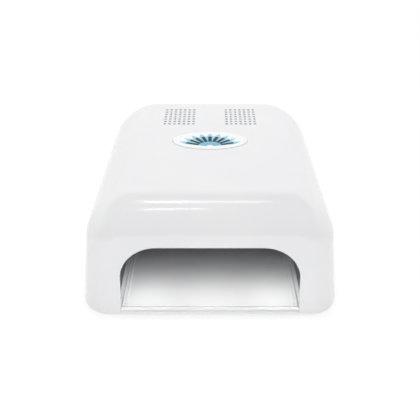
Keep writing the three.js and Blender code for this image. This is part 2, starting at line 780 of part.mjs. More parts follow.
// The rocker about its own pivot at 0, level: a round back, and a face that dips to its middle.
function makeRocker() {
  const { radius, tipRise, middleRise } = rocker;
  const tip = Math.asin(tipRise / radius);
  const shape = new THREE.Shape();
  shape.moveTo(middleRise, 0);
  shape.lineTo(tipRise, radius * Math.cos(tip));
  shape.absarc(0, 0, radius, Math.PI / 2 - tip, Math.PI * 1.5 + tip);
  shape.lineTo(middleRise, 0);
  const key = prism("x", shape, [-rocker.width / 2, rocker.width / 2], facets.oval);
  const reach = rocker.width / 2 + rocker.pinLength;
  return key.add(rod("x", rocker.pinRadius, [-reach, reach], [0, 0], facets.small));
}

// A timer button on its own axis along Y, with Y 0 at the panel's outer face.
function makeButton() {
  const flangeTop = panelInner - fit.gap;
  const stemEnd = tactFace - button.stemReach;
  const profile = [
    [0, stemEnd],
    [button.stemRadius, stemEnd],
    [button.stemRadius, flangeFace],
    [button.flangeRadius, flangeFace],
    [button.flangeRadius, flangeTop],
    [button.radius, flangeTop],
    [button.radius, button.proud - button.crown],
    [button.radius - button.crown, button.proud],
    [0, button.proud],
  ];
  const points = profile.map(([r, h]) => new THREE.Vector2(r, h));
  return solidOf(new THREE.LatheGeometry(points, facets.round));
}

function makeControlBoard() {
  const half = controlBoard.width / 2;
  const plate = box([-half, half], [boardFace - board.thickness, boardFace], [
    -controlBoard.height / 2,
    controlBoard.height / 2,
  ]);
  const holes = [-1, 1].map((side) => {
    const through = [boardFace - board.thickness - fit.overrun, boardFace + fit.overrun];
    return rod("y", smallScrew.shank + fit.gap, through, [side * controlBoard.postX, 0], facets.small);
  });
  return cut(plate, holes);
}

function makeTactSwitch() {
  const half = tact.side / 2;
  const body = box([-half, half], [boardFace + fit.seat, tactFace], [-half, half]);
  const wellDepth = button.stemReach + button.travel + fit.gap;
  const well = [tactFace - wellDepth, tactFace + fit.overrun];
  return body.subtract(rod("y", button.stemRadius + fit.gap, well, [0, 0], facets.small));
}

function makeJack() {
  const inner = panelInner - fit.seat;
  const barrel = rod("y", jack.barrelRadius, [-jack.length, jack.proud], [0, 0]);
  const flange = rod("y", jack.flangeRadius, [inner - jack.flange, inner], [0, 0]);
  const bore = rod("y", jack.boreRadius, [jack.proud - jack.boreDepth, jack.proud + fit.overrun], [0, 0]);
  return barrel.add(flange).subtract(bore);
}

function makeJackPin() {
  const floor = jack.proud - jack.boreDepth + fit.seat;
  return rod("y", jack.pinRadius, [floor, floor + jack.pinLength], [0, 0], facets.small);
}

function makeJackNut() {
  const nut = rod("y", jack.nutRadius, [fit.seat, fit.seat + jack.nutHeight], [0, 0], facets.nut);
  return nut.subtract(rod("y", jack.barrelRadius + fit.gap, [-fit.overrun, jack.nutHeight + fit.overrun], [0, 0]));
}

// A lead as a round tube along a smooth curve through its points.
function makeLead(points) {
  const path = new THREE.CatmullRomCurve3(points.map(([x, y, z]) => new THREE.Vector3(x, y, z)));
  const section = new THREE.Shape();
  section.absarc(0, 0, wire.radius, 0, Math.PI * 2);
  const options = { steps: wire.steps, extrudePath: path, curveSegments: facets.wire, bevelEnabled: false };
  return solidOf(new THREE.ExtrudeGeometry(section, options));
}

// Assembly
const lamp = new THREE.Group();
const assembly = new THREE.Group();
lamp.add(assembly);

function place(parent, name, solid, material, [x, y, z] = [0, 0, 0]) {
  const mesh = new THREE.Mesh(geometryOf(solid), material);
  mesh.name = name;
  mesh.position.set(x, y, z);
  parent.add(mesh);
  return mesh;
}

function addShell() {
  place(assembly, "top_housing", makeHousing(), finish.housing);
  place(assembly, "badge_plate", makeBadge(), finish.badge);
  place(assembly, "base_plate", makeBase(), finish.base);
  const footNames = ["foot_front_left", "foot_rear_left", "foot_front_right", "foot_rear_right"];
  footNames.forEach((name, i) => place(assembly, name, makeFoot(), finish.rubber, [...footPlaces[i], 0]));
  const headZ = ground + screw.headHeight + fit.gap - fit.seat;
  bossPlaces.forEach((spot, i) => {
    place(assembly, `housing_screw_${i + 1}`, makeScrew(screw), finish.steel, [...spot, headZ]);
  });
}

function addTray() {
  place(assembly, "tray", makeTray(), finish.tray);
}

function addReflector() {
  place(assembly, "reflector_dome", makeReflector(), finish.reflector);
  place(assembly, "reflector_back", makeReflectorBack(), finish.reflector);
  reflectorScrews.forEach((spot, i) => {
    const z = baseTop + fit.seat + reflector.sheet + fit.seat;
    const mesh = place(assembly, `reflector_screw_${i + 1}`, makeScrew(flangeScrew), finish.steel, [...spot, z]);
    mesh.rotation.x = Math.PI;
  });
}

function addLedBoards() {
  const lift = reflector.sheet + fit.gap;
  const top = makeLedBoard(topBoardWidth, longBoardLength, topLeds);
  place(assembly, "led_board_top", top, finish.circuit, [0, tunnelY, reflectorTop + lift]);
  for (const [side, name] of [
    [-1, "led_board_left"],
    [1, "led_board_right"],
  ]) {
    const flat = makeLedBoard(
      sideBoard.height,
      longBoardLength,
      sideLeds.map(([y, x]) => [x, y]),
    );
    const spot = [side * (reflectorHalf + lift), tunnelY, sideBoard.centreHeight];
    const mesh = place(assembly, name, flat, finish.circuit, spot);
    mesh.rotation.y = (side * Math.PI) / 2;
  }
  const back = makeLedBoard(backBoard.width, backBoard.height, backLeds);
  const backY = reflectorRear + fit.gap + lift;
  const mesh = place(assembly, "led_board_back", back, finish.circuit, [0, backY, backBoard.centreHeight]);
  mesh.rotation.x = -Math.PI / 2;
}

// The place on the driver board that a share pair names, at the board's top.
function onDriver(name, height = 0) {
  const [u, v] = driverShares[name];
  return [u * driver.width, driverY + v * driver.length, driverTop + fit.seat + height];
}

function addDriver() {
  place(assembly, "driver_board", makeDriverBoard(), finish.greenCircuit);
  driverPosts.forEach((spot, i) => {
    const screwPlace = [...spot, driverTop + fit.seat];
    place(assembly, `driver_screw_${i + 1}`, makeScrew(smallScrew), finish.steel, screwPlace).rotation.x = Math.PI;
  });
  place(assembly, "choke", makeChoke(), finish.copper, onDriver("choke"));
  place(assembly, "relay", makeBlock(relay), finish.relay, onDriver("relay"));
  place(assembly, "main_capacitor", makeCan(capacitor.radius, capacitor.height), finish.can, onDriver("capacitor"));
  place(assembly, "heat_sink", makeHeatSink(), finish.aluminium, onDriver("heatSink"));
  const [x, y, z] = onDriver("heatSink");
  const transistorPlace = [x, y - fit.seat - transistor.depth / 2, z];
  place(assembly, "driver_transistor", makeBlock(transistor), finish.black, transistorPlace);
  place(assembly, "timer_chip", makeBlock(timerChip), finish.black, onDriver("timerChip"));
  place(assembly, "led_socket", makeBlock(socket), finish.socket, onDriver("ledSocket"));
  place(assembly, "panel_socket", makeBlock(socket), finish.socket, onDriver("panelSocket"));
}

// The rear panel's frame: its origin is in the middle of the panel's outer face.
const panelY = rearY - panel.recess + fit.seat + panel.thickness;
const buttonXs = rowOf(timers.length, button.pitch);

function addControls() {
  const rear = new THREE.Group();
  rear.position.set(0, panelY, panelZ);
  assembly.add(rear);
  place(rear, "control_panel", makePanel(), finish.panel);
  [-1, 1].forEach((side, i) => {
    const spot = [side * panelScrewX, -fit.seat, 0];
    place(rear, `panel_screw_${i + 1}`, makeScrew(smallScrew), finish.steel, spot).rotation.x = Math.PI / 2;
  });
  place(rear, "power_switch_body", makeSwitchBody(), finish.switchBody, [rockerX, 0, 0]);
  const key = place(rear, "power_rocker", makeRocker(), finish.rocker, [rockerX, pivotY, 0]);
  key.rotation.x = rocker.tilt * degrees;
  timers.forEach((name, i) => {
    place(rear, `timer_button_${name}`, makeButton(), finish.button, [buttonXs[i], 0, 0]);
    place(rear, `tact_switch_${name}`, makeTactSwitch(), finish.black, [buttonXs[i], 0, 0]);
  });
  place(rear, "control_board", makeControlBoard(), finish.greenCircuit);
  [-1, 1].forEach((side, i) => {
    const spot = [side * controlBoard.postX, boardFace - board.thickness - fit.seat, 0];
    place(rear, `control_board_screw_${i + 1}`, makeScrew(smallScrew), finish.steel, spot).rotation.x = -Math.PI / 2;
  });
  place(rear, "dc_inlet", makeJack(), finish.black, [jackX, 0, 0]);
  place(rear, "dc_inlet_pin", makeJackPin(), finish.steel, [jackX, 0, 0]);
  place(rear, "dc_inlet_nut", makeJackNut(), finish.steel, [jackX, 0, 0]);
}

function addLeads() {
  const end = fit.gap;
  const { bow, rise, fromEdge } = wire;
  const terminalY = panelY - rocker.bodyDepth - rocker.terminalLength - end;
  const [upper, lower] = [panelZ + rocker.terminalPitch, panelZ - rocker.terminalPitch];
  const inletY = panelY - jack.length - end;
  place(assembly, "lead_inlet_to_switch", makeLead([
    [jackX, inletY, panelZ],
    [jackX, inletY - bow / 2, panelZ],
    [0, terminalY - bow, (panelZ + upper) / 2],
    [rockerX, terminalY - bow / 2, upper],
    [rockerX, terminalY, upper],
  ]), finish.redWire);

  const [switchX, switchY, switchZ] = onDriver("switchLead", end);
  place(assembly, "lead_switch_to_driver", makeLead([
    [rockerX, terminalY, lower],
    [rockerX, terminalY - bow / 2, lower],
    [switchX, switchY, switchZ + rise],
    [switchX, switchY, switchZ],
  ]), finish.redWire);

  const boardBack = panelY + boardFace - board.thickness - end;
  const [panelX, panelLeadY, panelTop] = onDriver("panelSocket", socket.height + end);
  place(assembly, "lead_panel_to_driver", makeLead([
    [-button.pitch, boardBack, panelZ - tact.side],
    [-button.pitch, boardBack - bow / 2, panelZ - tact.side],
    [panelX, panelLeadY + bow, panelTop + 2 * rise],
    [panelX, panelLeadY, panelTop + rise],
    [panelX, panelLeadY, panelTop],
  ]), finish.greyWire);

  const topFace = reflectorTop + reflector.sheet + fit.gap + board.thickness + end;
  const topEdge = tunnelY + longBoardLength / 2;
  const [ledX, ledY, ledTop] = onDriver("ledSocket", socket.height + end);
  place(assembly, "lead_top_board", makeLead([
    [ledX, ledY, ledTop],
    [ledX, ledY, ledTop + rise],
    [ledX, topEdge + 2 * bow, topFace],
    [ledX, topEdge, topFace + rise],
    [ledX, topEdge - fromEdge, topFace + rise / 2],
    [ledX, topEdge - fromEdge, topFace],
  ]), finish.blackWire);

  const sideFace = reflectorHalf + reflector.sheet + fit.gap + board.thickness + end;
  const sideEdge = tunnelY + longBoardLength / 2 - fromEdge;
  const [sideX, sideY, sideZ] = onDriver("sideLead", end);
  for (const [side, name] of [
    [-1, "lead_left_board"],
    [1, "lead_right_board"],
  ]) {
    place(assembly, name, makeLead([
      [side * sideX, sideY, sideZ],
      [side * sideX, sideY, sideZ + rise],
      [side * (sideFace + bow), reflectorRear + bow, sideBoard.centreHeight],
      [side * (sideFace + bow / 2), sideEdge, sideBoard.centreHeight],
      [side * sideFace, sideEdge, sideBoard.centreHeight],
    ]), finish.blackWire);
  }

  const backFace = reflectorRear + fit.gap + reflector.sheet + fit.gap + board.thickness + end;
  const [backX, backY, backZ] = onDriver("backLead", end);
  place(assembly, "lead_back_board", makeLead([
    [backX, backY, backZ],
    [backX, backY, backZ + rise],
    [backX, backFace + bow / 2, backBoard.centreHeight],
    [backX, backFace, backBoard.centreHeight],
  ]), finish.blackWire);
}

addShell();
addTray();
addReflector();
addLedBoards();
addDriver();
addControls();
addLeads();

// The origin is under the middle of the footprint, the tray's lip and the switch included.
const extent = new THREE.Box3().setFromObject(assembly);
assembly.position.y = -(extent.min.y + extent.max.y) / 2;

export default lamp;
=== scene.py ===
# LED nail lamp dressed for its studio picture: glossy white housing, badge, tray, reflector, LEDs and rear controls.
import math

import bmesh
import bpy
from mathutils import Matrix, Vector


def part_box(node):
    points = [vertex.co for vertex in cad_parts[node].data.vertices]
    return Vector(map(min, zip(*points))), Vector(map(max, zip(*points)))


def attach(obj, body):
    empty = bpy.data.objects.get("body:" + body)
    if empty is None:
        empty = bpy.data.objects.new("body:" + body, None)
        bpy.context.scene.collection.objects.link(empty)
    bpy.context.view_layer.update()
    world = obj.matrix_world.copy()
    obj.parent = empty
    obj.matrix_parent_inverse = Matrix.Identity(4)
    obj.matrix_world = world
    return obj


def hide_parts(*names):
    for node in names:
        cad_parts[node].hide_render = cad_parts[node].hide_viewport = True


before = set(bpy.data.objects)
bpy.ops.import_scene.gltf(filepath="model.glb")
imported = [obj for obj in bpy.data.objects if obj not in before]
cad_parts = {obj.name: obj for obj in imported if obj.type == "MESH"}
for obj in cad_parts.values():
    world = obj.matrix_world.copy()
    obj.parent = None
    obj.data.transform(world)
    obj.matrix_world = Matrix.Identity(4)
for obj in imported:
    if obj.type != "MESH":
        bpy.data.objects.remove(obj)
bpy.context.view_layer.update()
bpy.ops.object.select_all(action="DESELECT")
print("frame loaded:", len(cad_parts), "nodes")

mm = 0.001
quarter = math.pi / 2
turns = {"Z": (0, 0, 0), "-Z": (math.pi, 0, 0), "Y": (-quarter, 0, 0), "-Y": (quarter, 0, 0),
         "X": (0, quarter, 0), "-X": (0, -quarter, 0)}
sameLevel = 0.001 * mm  # how near to a level a point has to be to count as on it
play = 0.05 * mm  # the gap or overlap between pieces that lie against each other


def inMm(**lengths):
    # settings that are given in millimetres
    return {name: length * mm for name, length in lengths.items()}


def shares(count):
    # from 0 to 1 in a number of even steps
    return [i / count for i in range(count + 1)]


# Helpers for modelling

def addPrimitive(name, kind, **settings):
    getattr(bpy.ops.mesh, "primitive_" + kind + "_add")(**settings)
    piece = bpy.context.object
    piece.name = piece.data.name = name
    return piece


def fromPoints(name, points, faces):
    mesh = bpy.data.meshes.new(name)
    mesh.from_pydata(points, [], faces)
    piece = bpy.data.objects.new(name, mesh)
    bpy.context.collection.objects.link(piece)
    return piece


def edit(piece, elements="FACE"):
    pick(piece)
    bpy.ops.object.mode_set(mode="EDIT")
    bpy.ops.mesh.select_mode(type=elements)


def leave(outward=False):
    if outward:
        chooseAll()
        bpy.ops.mesh.normals_make_consistent(inside=False)
    bpy.ops.object.mode_set(mode="OBJECT")


def choose(test, elements="faces"):
    # selects the elements of the mesh being edited that pass the test, and returns how many there are
    bm = bmesh.from_edit_mesh(bpy.context.edit_object.data)
    for group in (bm.verts, bm.edges, bm.faces):
        for element in group:
            element.select = False
    bm.normal_update()
    chosen = [element for element in getattr(bm, elements) if test(element)]
    for element in chosen:
        element.select_set(True)
    bm.select_flush_mode()
    bmesh.update_edit_mesh(bpy.context.edit_object.data)
    return len(chosen)


def chooseAll():
    bpy.ops.mesh.select_all(action="SELECT")


def bevel(test, width, segments=3):
    choose(test, "edges")
    bpy.ops.mesh.bevel(offset=width, segments=segments)


def drawOut(travel):
    bpy.ops.mesh.extrude_region_move(TRANSFORM_OT_translate={"value": travel})


def pick(piece):
    bpy.ops.object.select_all(action="DESELECT")
    bpy.context.view_layer.objects.active = piece
    piece.select_set(True)


def settle(piece):
    # the piece's place goes into its mesh
    pick(piece)
    bpy.ops.object.transform_apply(location=True, rotation=True, scale=True)


def put(piece, place, turned):
    piece.location, piece.rotation_euler = place, turned
    settle(piece)
    return piece


def applyModifier(piece, name, kind, **settings):
    modifier = piece.modifiers.new(name, kind)
    for key, value in settings.items():
        setattr(modifier, key, value)
    pick(piece)
    bpy.ops.object.modifier_apply(modifier=modifier.name)


def carve(piece, *cutters):
    cutter = joinPieces(list(cutters), "cutter")
    applyModifier(piece, "carve", "BOOLEAN", operation="DIFFERENCE", solver="EXACT", object=cutter)
    bpy.data.objects.remove(cutter)


def smooth(piece, angle=30):
    pick(piece)
    bpy.ops.object.shade_smooth_by_angle(angle=math.radians(angle))
    for modifier in list(piece.modifiers):
        bpy.ops.object.modifier_apply(modifier=modifier.name)
    applyModifier(piece, "even normals", "WEIGHTED_NORMAL", mode="FACE_AREA", weight=50, keep_sharp=True)


def joinPieces(pieces, name):
    pick(pieces[0])
    for piece in pieces:
        piece.select_set(True)
    if len(pieces) > 1:
        bpy.ops.object.join()
    pieces[0].name = pieces[0].data.name = name
    return pieces[0]


def repeat(piece, name, spots):
    # one piece made of a copy at each spot, a spot being a place and a direction for the first one's own +Z
    copies = []
    for place, toward in spots:
        copy = piece.copy()
        copy.data = piece.data.copy()
        bpy.context.collection.objects.link(copy)
        copies.append(put(copy, place, turns[toward]))
    bpy.data.objects.remove(piece)
    return joinPieces(copies, name)


def turn(name, rings, steps, place=(0, 0, 0), toward="Z"):
    # a turned piece: a disc drawn out along its axis ring by ring, each ring a radius and a height
    radius, height = rings[0]
    piece = addPrimitive(name, "circle", vertices=steps, radius=radius, fill_type="NGON", location=(0, 0, height))
    settle(piece)
    edit(piece)
    chooseAll()
    for nextRadius, nextHeight in rings[1:]:
        drawOut((0, 0, nextHeight - height))
        share = nextRadius / radius
        bpy.ops.transform.resize(value=(share, share, 1), center_override=(0, 0, nextHeight))
        radius, height = nextRadius, nextHeight
    leave(outward=True)
    return put(piece, place, turns[toward])


def rod(name, radius, start, end, steps, place=(0, 0, 0), toward="Z"):
    return turn(name, [(radius, start), (radius, end)], steps, place, toward)


def block(name, low, high, radius=0, axis="Z", steps=6, rims="", rim=0.3 * mm):
    # a box between two corners: its edges along the axis are rounded, then the rims of its named ends
    piece = addPrimitive(name, "cube", size=1, location=[(a + b) / 2 for a, b in zip(low, high)])
    piece.scale = [b - a for a, b in zip(low, high)]
    settle(piece)
    along = "XYZ".index(axis)
    edit(piece, "EDGE")
    if radius:
        reach = (high[along] - low[along]) / 2
        bevel(lambda e: abs(e.verts[0].co[along] - e.verts[1].co[along]) > reach, radius, steps)
    for end in rims:
        level = high[along] if end == "+" else low[along]
        bevel(lambda e: all(abs(v.co[along] - level) < sameLevel for v in e.verts), rim)
    leave()
    return piece


def slab(name, middle, half, start, end, radius=0, steps=6, rims="", rim=0.3 * mm):
    # a block between two depths, by its middle and half sizes across and up; its edges along Y are rounded
    (x, z), (across, up) = middle, half
    return block(name, (x - across, start, z - up), (x + across, end, z + up), radius, "Y", steps, rims, rim)


def dress(piece, finish, nodes=(), body="lamp_body", angle=30):
    smooth(piece, angle)
    piece.data.materials.clear()
    piece.data.materials.append(bpy.data.materials[finish])
    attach(piece, body)
    if nodes:
        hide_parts(*nodes)


# Materials

def colour(code):
    # an sRGB hex value as a linear colour
    parts = [int(code[i:i + 2], 16) / 255 for i in (1, 3, 5)]
    return [p / 12.92 if p <= 0.04045 else ((p + 0.055) / 1.055) ** 2.4 for p in parts] + [1.0]


def addNode(tree, kind, settings=None, links=None):
    node = tree.nodes.new("ShaderNode" + kind)
    for key, value in (settings or {}).items():
        if isinstance(key, str) and hasattr(node, key):
            setattr(node, key, value)
        else:
            node.inputs[key].default_value = value
    for key, source in (links or {}).items():
        tree.links.new(source, node.inputs[key])
    return node


def startMaterial(name):
    material = bpy.data.materials.new(name)
    material.use_nodes = True
    material.node_tree.nodes.clear()
    return material.node_tree


def finishMaterial(tree, settings, links):
    shader = addNode(tree, "BsdfPrincipled", settings, links)
    addNode(tree, "OutputMaterial", links={"Surface": shader.outputs[0]})


def addRamp(tree, source, stops):
    ramp = addNode(tree, "ValToRGB", links={"Fac": source})
    elements = ramp.color_ramp.elements
    while len(elements) < len(stops):
        elements.new(0.5)
    for element, (place, code) in zip(elements, stops):
        element.position, element.color = place, colour(code)
    return ramp.outputs["Color"]


def surface(name, light, dark, roughness, mottle, grain, bump, depth, ior=1.53, metallic=0.0, stretch=(1, 1, 1)):
    # a finish with faint mottling in its colour and gloss and a fine grain, either of them drawn out by stretch
    tree = startMaterial(name)
    place = addNode(tree, "TexCoord").outputs["Object"]
    stretched = addNode(tree, "Mapping", {"Scale": stretch}, {"Vector": place})
    vector = {"Vector": stretched.outputs[0]}
    mottling = addNode(tree, "TexNoise", {"Scale": 1 / (mottle * mm), "Detail": 3.0}, vector).outputs["Fac"]
    graining = addNode(tree, "TexNoise", {"Scale": 1 / (grain * mm), "Detail": 2.0}, vector).outputs["Fac"]
    tone = addRamp(tree, mottling, [(0.3, dark), (0.7, light)])
    gloss = addNode(tree, "MapRange", {"To Min": roughness[0], "To Max": roughness[1]}, {"Value": mottling})
    relief = addNode(tree, "Bump", {"Strength": bump, "Distance": depth * mm}, {"Height": graining})
    finishMaterial(tree, {"IOR": ior, "Metallic": metallic},
                   {"Base Color": tone, "Roughness": gloss.outputs["Result"], "Normal": relief.outputs["Normal"]})


# Each finish: its light and dark tone, its roughness from and to, the sizes of its mottling and its grain in mm, and
# the strength and the depth in mm of the grain. A few go on with a refractive index, how metallic they are, and how
# their brushing or winding is drawn out. The polished mould of the housing leaves a trace of orange peel.
finishes = {
    "glossyWhiteAbs": ("#f3f3f4", "#f0f0f2", (0.1, 0.14), 60, 1.6, 0.015, 0.05),
    "trayWhiteAbs": ("#f2f2f2", "#eeeeef", (0.2, 0.28), 40, 1.2, 0.01, 0.05),
    "baseGreyAbs": ("#dfe0e2", "#d8d9dc", (0.5, 0.6), 30, 0.5, 0.25, 0.04),
    "panelGreyAbs": ("#cdcfd2", "#c6c8cb", (0.42, 0.5), 25, 0.45, 0.25, 0.04),
    "footRubber": ("#303032", "#262628", (0.7, 0.85), 3, 0.3, 0.35, 0.06, 1.5),
    "zincSteel": ("#c4c6c9", "#a9acb0", (0.25, 0.38), 1.5, 0.25, 0.1, 0.02, 1.53, 1.0),
    # the reflector's aluminium is toned far darker than bare metal: painted shade, so the inside of the mouth reads
    # dark
    "satinAluminium": ("#85878c", "#7b7d82", (0.45, 0.55), 8, 0.6, 0.12, 0.02, 1.53, 1.0, (1, 0.04, 1)),
    "extrudedAluminium": ("#b3b6ba", "#9fa2a6", (0.4, 0.5), 3, 0.4, 0.15, 0.03, 1.53, 1.0, (1, 1, 0.05)),
    "enamelledCopper": ("#c0703f", "#9c5430", (0.3, 0.42), 2, 0.7, 0.5, 0.2, 1.53, 1.0, (1, 1, 0.1)),
    "ledCeramic": ("#efeee9", "#e6e5df", (0.45, 0.55), 2, 0.3, 0.1, 0.02),
    "ledDie": ("#c4c3d0", "#b4b2c4", (0.35, 0.45), 0.6, 0.1, 0.1, 0.01),
    "blackMoulding": ("#1f1f21", "#18181a", (0.4, 0.5), 8, 0.3, 0.2, 0.03),
    "rockerGlossBlack": ("#222327", "#1b1c1f", (0.15, 0.22), 6, 0.8, 0.04, 0.02),
    "buttonWhiteAbs": ("#f4f4f6", "#efeff2", (0.18, 0.25), 6, 0.8, 0.04, 0.02),
    "markInk": ("#4d5054", "#44474b", (0.5, 0.6), 1, 0.2, 0.1, 0.01),
    "whiteInk": ("#eeeeee", "#e2e2e2", (0.5, 0.6), 1, 0.2, 0.1, 0.01),
    "relayBlue": ("#30528c", "#2a4980", (0.25, 0.32), 6, 0.5, 0.08, 0.02),
    "socketNylon": ("#f1efe7", "#e9e6dc", (0.35, 0.45), 4, 0.5, 0.08, 0.02),
    "sleeveNavy": ("#26334f", "#202b45", (0.2, 0.3), 5, 1, 0.08, 0.03),
    "redPvc": ("#bd302b", "#a82723", (0.35, 0.45), 5, 0.6, 0.1, 0.02),
    "blackPvc": ("#28282a", "#1f1f21", (0.35, 0.45), 5, 0.6, 0.1, 0.02),
    "greyPvc": ("#a2a5a9", "#94979b", (0.35, 0.45), 5, 0.6, 0.1, 0.02),
}
for name, row in finishes.items():
    surface(name, *row)


def boardFinish(name, cell, randomness, share, track, mask, roughness):
    # a circuit board under its solder mask: the tracks show through as a fine pattern of straight cells, sized in mm
    tree = startMaterial(name)
    place = addNode(tree, "TexCoord").outputs["Object"]
    pattern = {"feature": "DISTANCE_TO_EDGE", "Scale": 1 / (cell * mm), "Randomness": randomness}
    tracks = addNode(tree, "TexVoronoi", pattern, {"Vector": place}).outputs["Distance"]
    tone = addRamp(tree, tracks, [(0.0, track), (share, track), (share + 0.02, mask)])
    bump = addNode(tree, "Bump", {"Strength": 0.3, "Distance": 0.03 * mm}, {"Height": tracks})
    finishMaterial(tree, {"Roughness": roughness, "IOR": 1.5}, {"Base Color": tone, "Normal": bump.outputs["Normal"]})


boardFinish("whiteSolderMask", cell=9, randomness=0.25, share=0.05, track="#dfe2dc", mask="#eceee9", roughness=0.4)
boardFinish("greenSolderMask", cell=5, randomness=0.55, share=0.08, track="#2b7f55", mask="#1e6643", roughness=0.32)


def clearEpoxy():
    tree = startMaterial("clearEpoxy")
    place = addNode(tree, "TexCoord").outputs["Object"]
    swirl = addNode(tree, "TexNoise", {"Scale": 1 / (2 * mm), "Detail": 2.0}, {"Vector": place})
    gloss = addNode(tree, "MapRange", {"To Min": 0.02, "To Max": 0.08}, {"Value": swirl.outputs["Fac"]})
    finishMaterial(tree, {"Base Color": colour("#f4f6f6"), "Transmission Weight": 0.9, "IOR": 1.5},
                   {"Roughness": gloss.outputs["Result"]})


petals = inMm(base=16, inner=3, outer=33, width=4.6, veinFrom=12, veinTo=25, vein=1.7) | {"pitch": 17, "spread": 76.5}


def badgeLacquer(middle):
    # a white lacquered plate printed with a fan of pale blue petals, each with a navy vein
    tree = startMaterial("badgeLacquer")

    def maths(operation, first, second=None):
        node = addNode(tree, "Math", {"operation": operation})
        for index, value in enumerate((first, second)):
            if isinstance(value, (int, float)):
                node.inputs[index].default_value = value
            elif value is not None:
                tree.links.new(value, node.inputs[index])
        return node.outputs[0]

    place = addNode(tree, "TexCoord").outputs["Object"]
    split = addNode(tree, "SeparateXYZ", links={"Vector": place})
    x = split.outputs["X"]
    y = maths("SUBTRACT", split.outputs["Y"], middle - petals["base"])
    reach = maths("SQRT", maths("ADD", maths("MULTIPLY", x, x), maths("MULTIPLY", y, y)))
    angle = maths("ARCTAN2", x, y)
    pitch = math.radians(petals["pitch"])
    wrap = addNode(tree, "Math", {"operation": "WRAP", 1: pitch / 2, 2: -pitch / 2}, {0: angle})
    aside = maths("ABSOLUTE", maths("MULTIPLY", reach, maths("SINE", wrap.outputs[0])))
    inFan = maths("LESS_THAN", maths("ABSOLUTE", angle), math.radians(petals["spread"]))
    along = maths("DIVIDE", maths("SUBTRACT", reach, petals["inner"]), petals["outer"] - petals["inner"])
    swell = maths("SINE", maths("MULTIPLY", maths("MINIMUM", maths("MAXIMUM", along, 0), 1), math.pi))
    petal = maths("MULTIPLY", inFan, maths("LESS_THAN", aside, maths("MULTIPLY", swell, petals["width"])))
    onVein = maths("MULTIPLY", maths("GREATER_THAN", reach, petals["veinFrom"]),
                   maths("LESS_THAN", reach, petals["veinTo"]))
    vein = maths("MULTIPLY", maths("MULTIPLY", onVein, inFan), maths("LESS_THAN", aside, petals["vein"]))
    blue = addRamp(tree, along, [(0.1, "#74bfd8"), (0.9, "#a9dcec")])
    printed = addNode(tree, "Mix", {"data_type": "RGBA", 6: colour("#fdfdfe")}, {0: petal, 7: blue})
    full = addNode(tree, "Mix", {"data_type": "RGBA", 7: colour("#0b2236")},
                   {0: vein, 6: printed.outputs[2]})
    peel = addNode(tree, "TexNoise", {"Scale": 1 / (1.5 * mm)}, {"Vector": place})
    bump = addNode(tree, "Bump", {"Strength": 0.03, "Distance": 0.03 * mm}, {"Height": peel.outputs["Fac"]})
    finishMaterial(tree, {"Roughness": 0.3, "IOR": 1.5, "Specular IOR Level": 0.2},
                   {"Base Color": full.outputs[2], "Normal": bump.outputs["Normal"]})


print("finishes made")

# Top housing

housing = inMm(
    width=225, height=96.5, ground=2.5, wall=2.6, baseTop=4.9, frontHeight=78.6, rollDepth=46, frontCornerWidth=25,
    frontCornerDepth=34, rearCornerWidth=31, rearCornerDepth=38, rearRollDepth=16.6, rearDrop=3.2, draft=6.7,
    shoulder=36.5, frontShoulder=19, rearShoulder=28, bossRadius=4.5, bossX=96.9, bossFront=48, bossRear=42,
    bossTop=78,
) | {"rollStart": 0.08, "rollSteps": 30, "rearSteps": 22, "shoulderSteps": 24}
mouth = inMm(width=149, flare=2, height=66.7, corner=31.4, edge=0.7) | {"steps": 24}
vents = inMm(
    pitchX=5, pitchY=7, width=3.2, length=3.8, inner=17.6, rear=26.5,
) | {"columns": 7, "rows": 7, "sides": 16}
# round, here and for the buttons, is a rounded edge: how far inside the rim and how far below the top, in mm
badge = inMm(
    width=74, depth=43.5, rearSetback=91.5, thickness=1.1, recess=0.6, gap=0.3, footInset=0.3, footRise=0.2,
) | {"sides": 96, "round": ((0, 0.35), (0.1, 0.15), (0.3, 0.03), (0.7, 0))}
panel = inMm(
    width=136, height=34, corner=6, thickness=1.5, recess=1.6, edge=0.4, centre=50, gap=0.3, ledge=6, sill=3.5,
)
frontY, rearY = (corner.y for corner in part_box("top_housing"))
depth = rearY - frontY
ground = housing["ground"]
roofZ = ground + housing["height"]
beyond = 5 * mm  # how far a cutter runs past what it opens
postSteps = 24  # sides of the round posts and of the holes for the housing's screws


def quarterEllipse(t):
    t = min(max(t, 0), 1)
    return math.sqrt(1 - (1 - t) ** 2)


def rollRise(t):
    start = housing["rollStart"]
    first = quarterEllipse(start / (1 + start))
    return (quarterEllipse((min(max(t, 0), 1) + start) / (1 + start)) - first) / (1 - first)


def halfWidth(back):
    half = housing["width"] / 2
    half -= housing["frontCornerWidth"] * (1 - quarterEllipse(back / housing["frontCornerDepth"]))
    return half - housing["rearCornerWidth"] * (1 - quarterEllipse((depth - back) / housing["rearCornerDepth"]))


def section(back):
    # the housing's outline across its width at a distance behind the front face, from base to base over the roof
    across = halfWidth(back) / (housing["width"] / 2)
    rise = housing["height"] - housing["frontHeight"]
    up = housing["frontHeight"] + rise * rollRise(back / housing["rollDepth"])
    up -= housing["rearDrop"] * (1 - quarterEllipse((depth - back) / housing["rearRollDepth"]))
    up /= housing["height"]
    full = housing["shoulder"]
    radius = full - (full - housing["frontShoulder"]) * (1 - quarterEllipse(back / housing["rollDepth"]))
    radius -= (full - housing["rearShoulder"]) * (1 - quarterEllipse((depth - back) / housing["rearCornerDepth"]))
    middle, top = housing["width"] / 2 - housing["draft"] - radius, housing["height"] - radius
    angles = [t * quarter for t in shares(housing["shoulderSteps"])]
    side = [(housing["width"] / 2, 0)]
    side += [(middle + radius * math.cos(angle), top + radius * math.sin(angle)) for angle in angles]
    outline = side + [(-x, z) for x, z in reversed(side)]
    return [(x * across, frontY + back, ground + z * up) for x, z in outline]


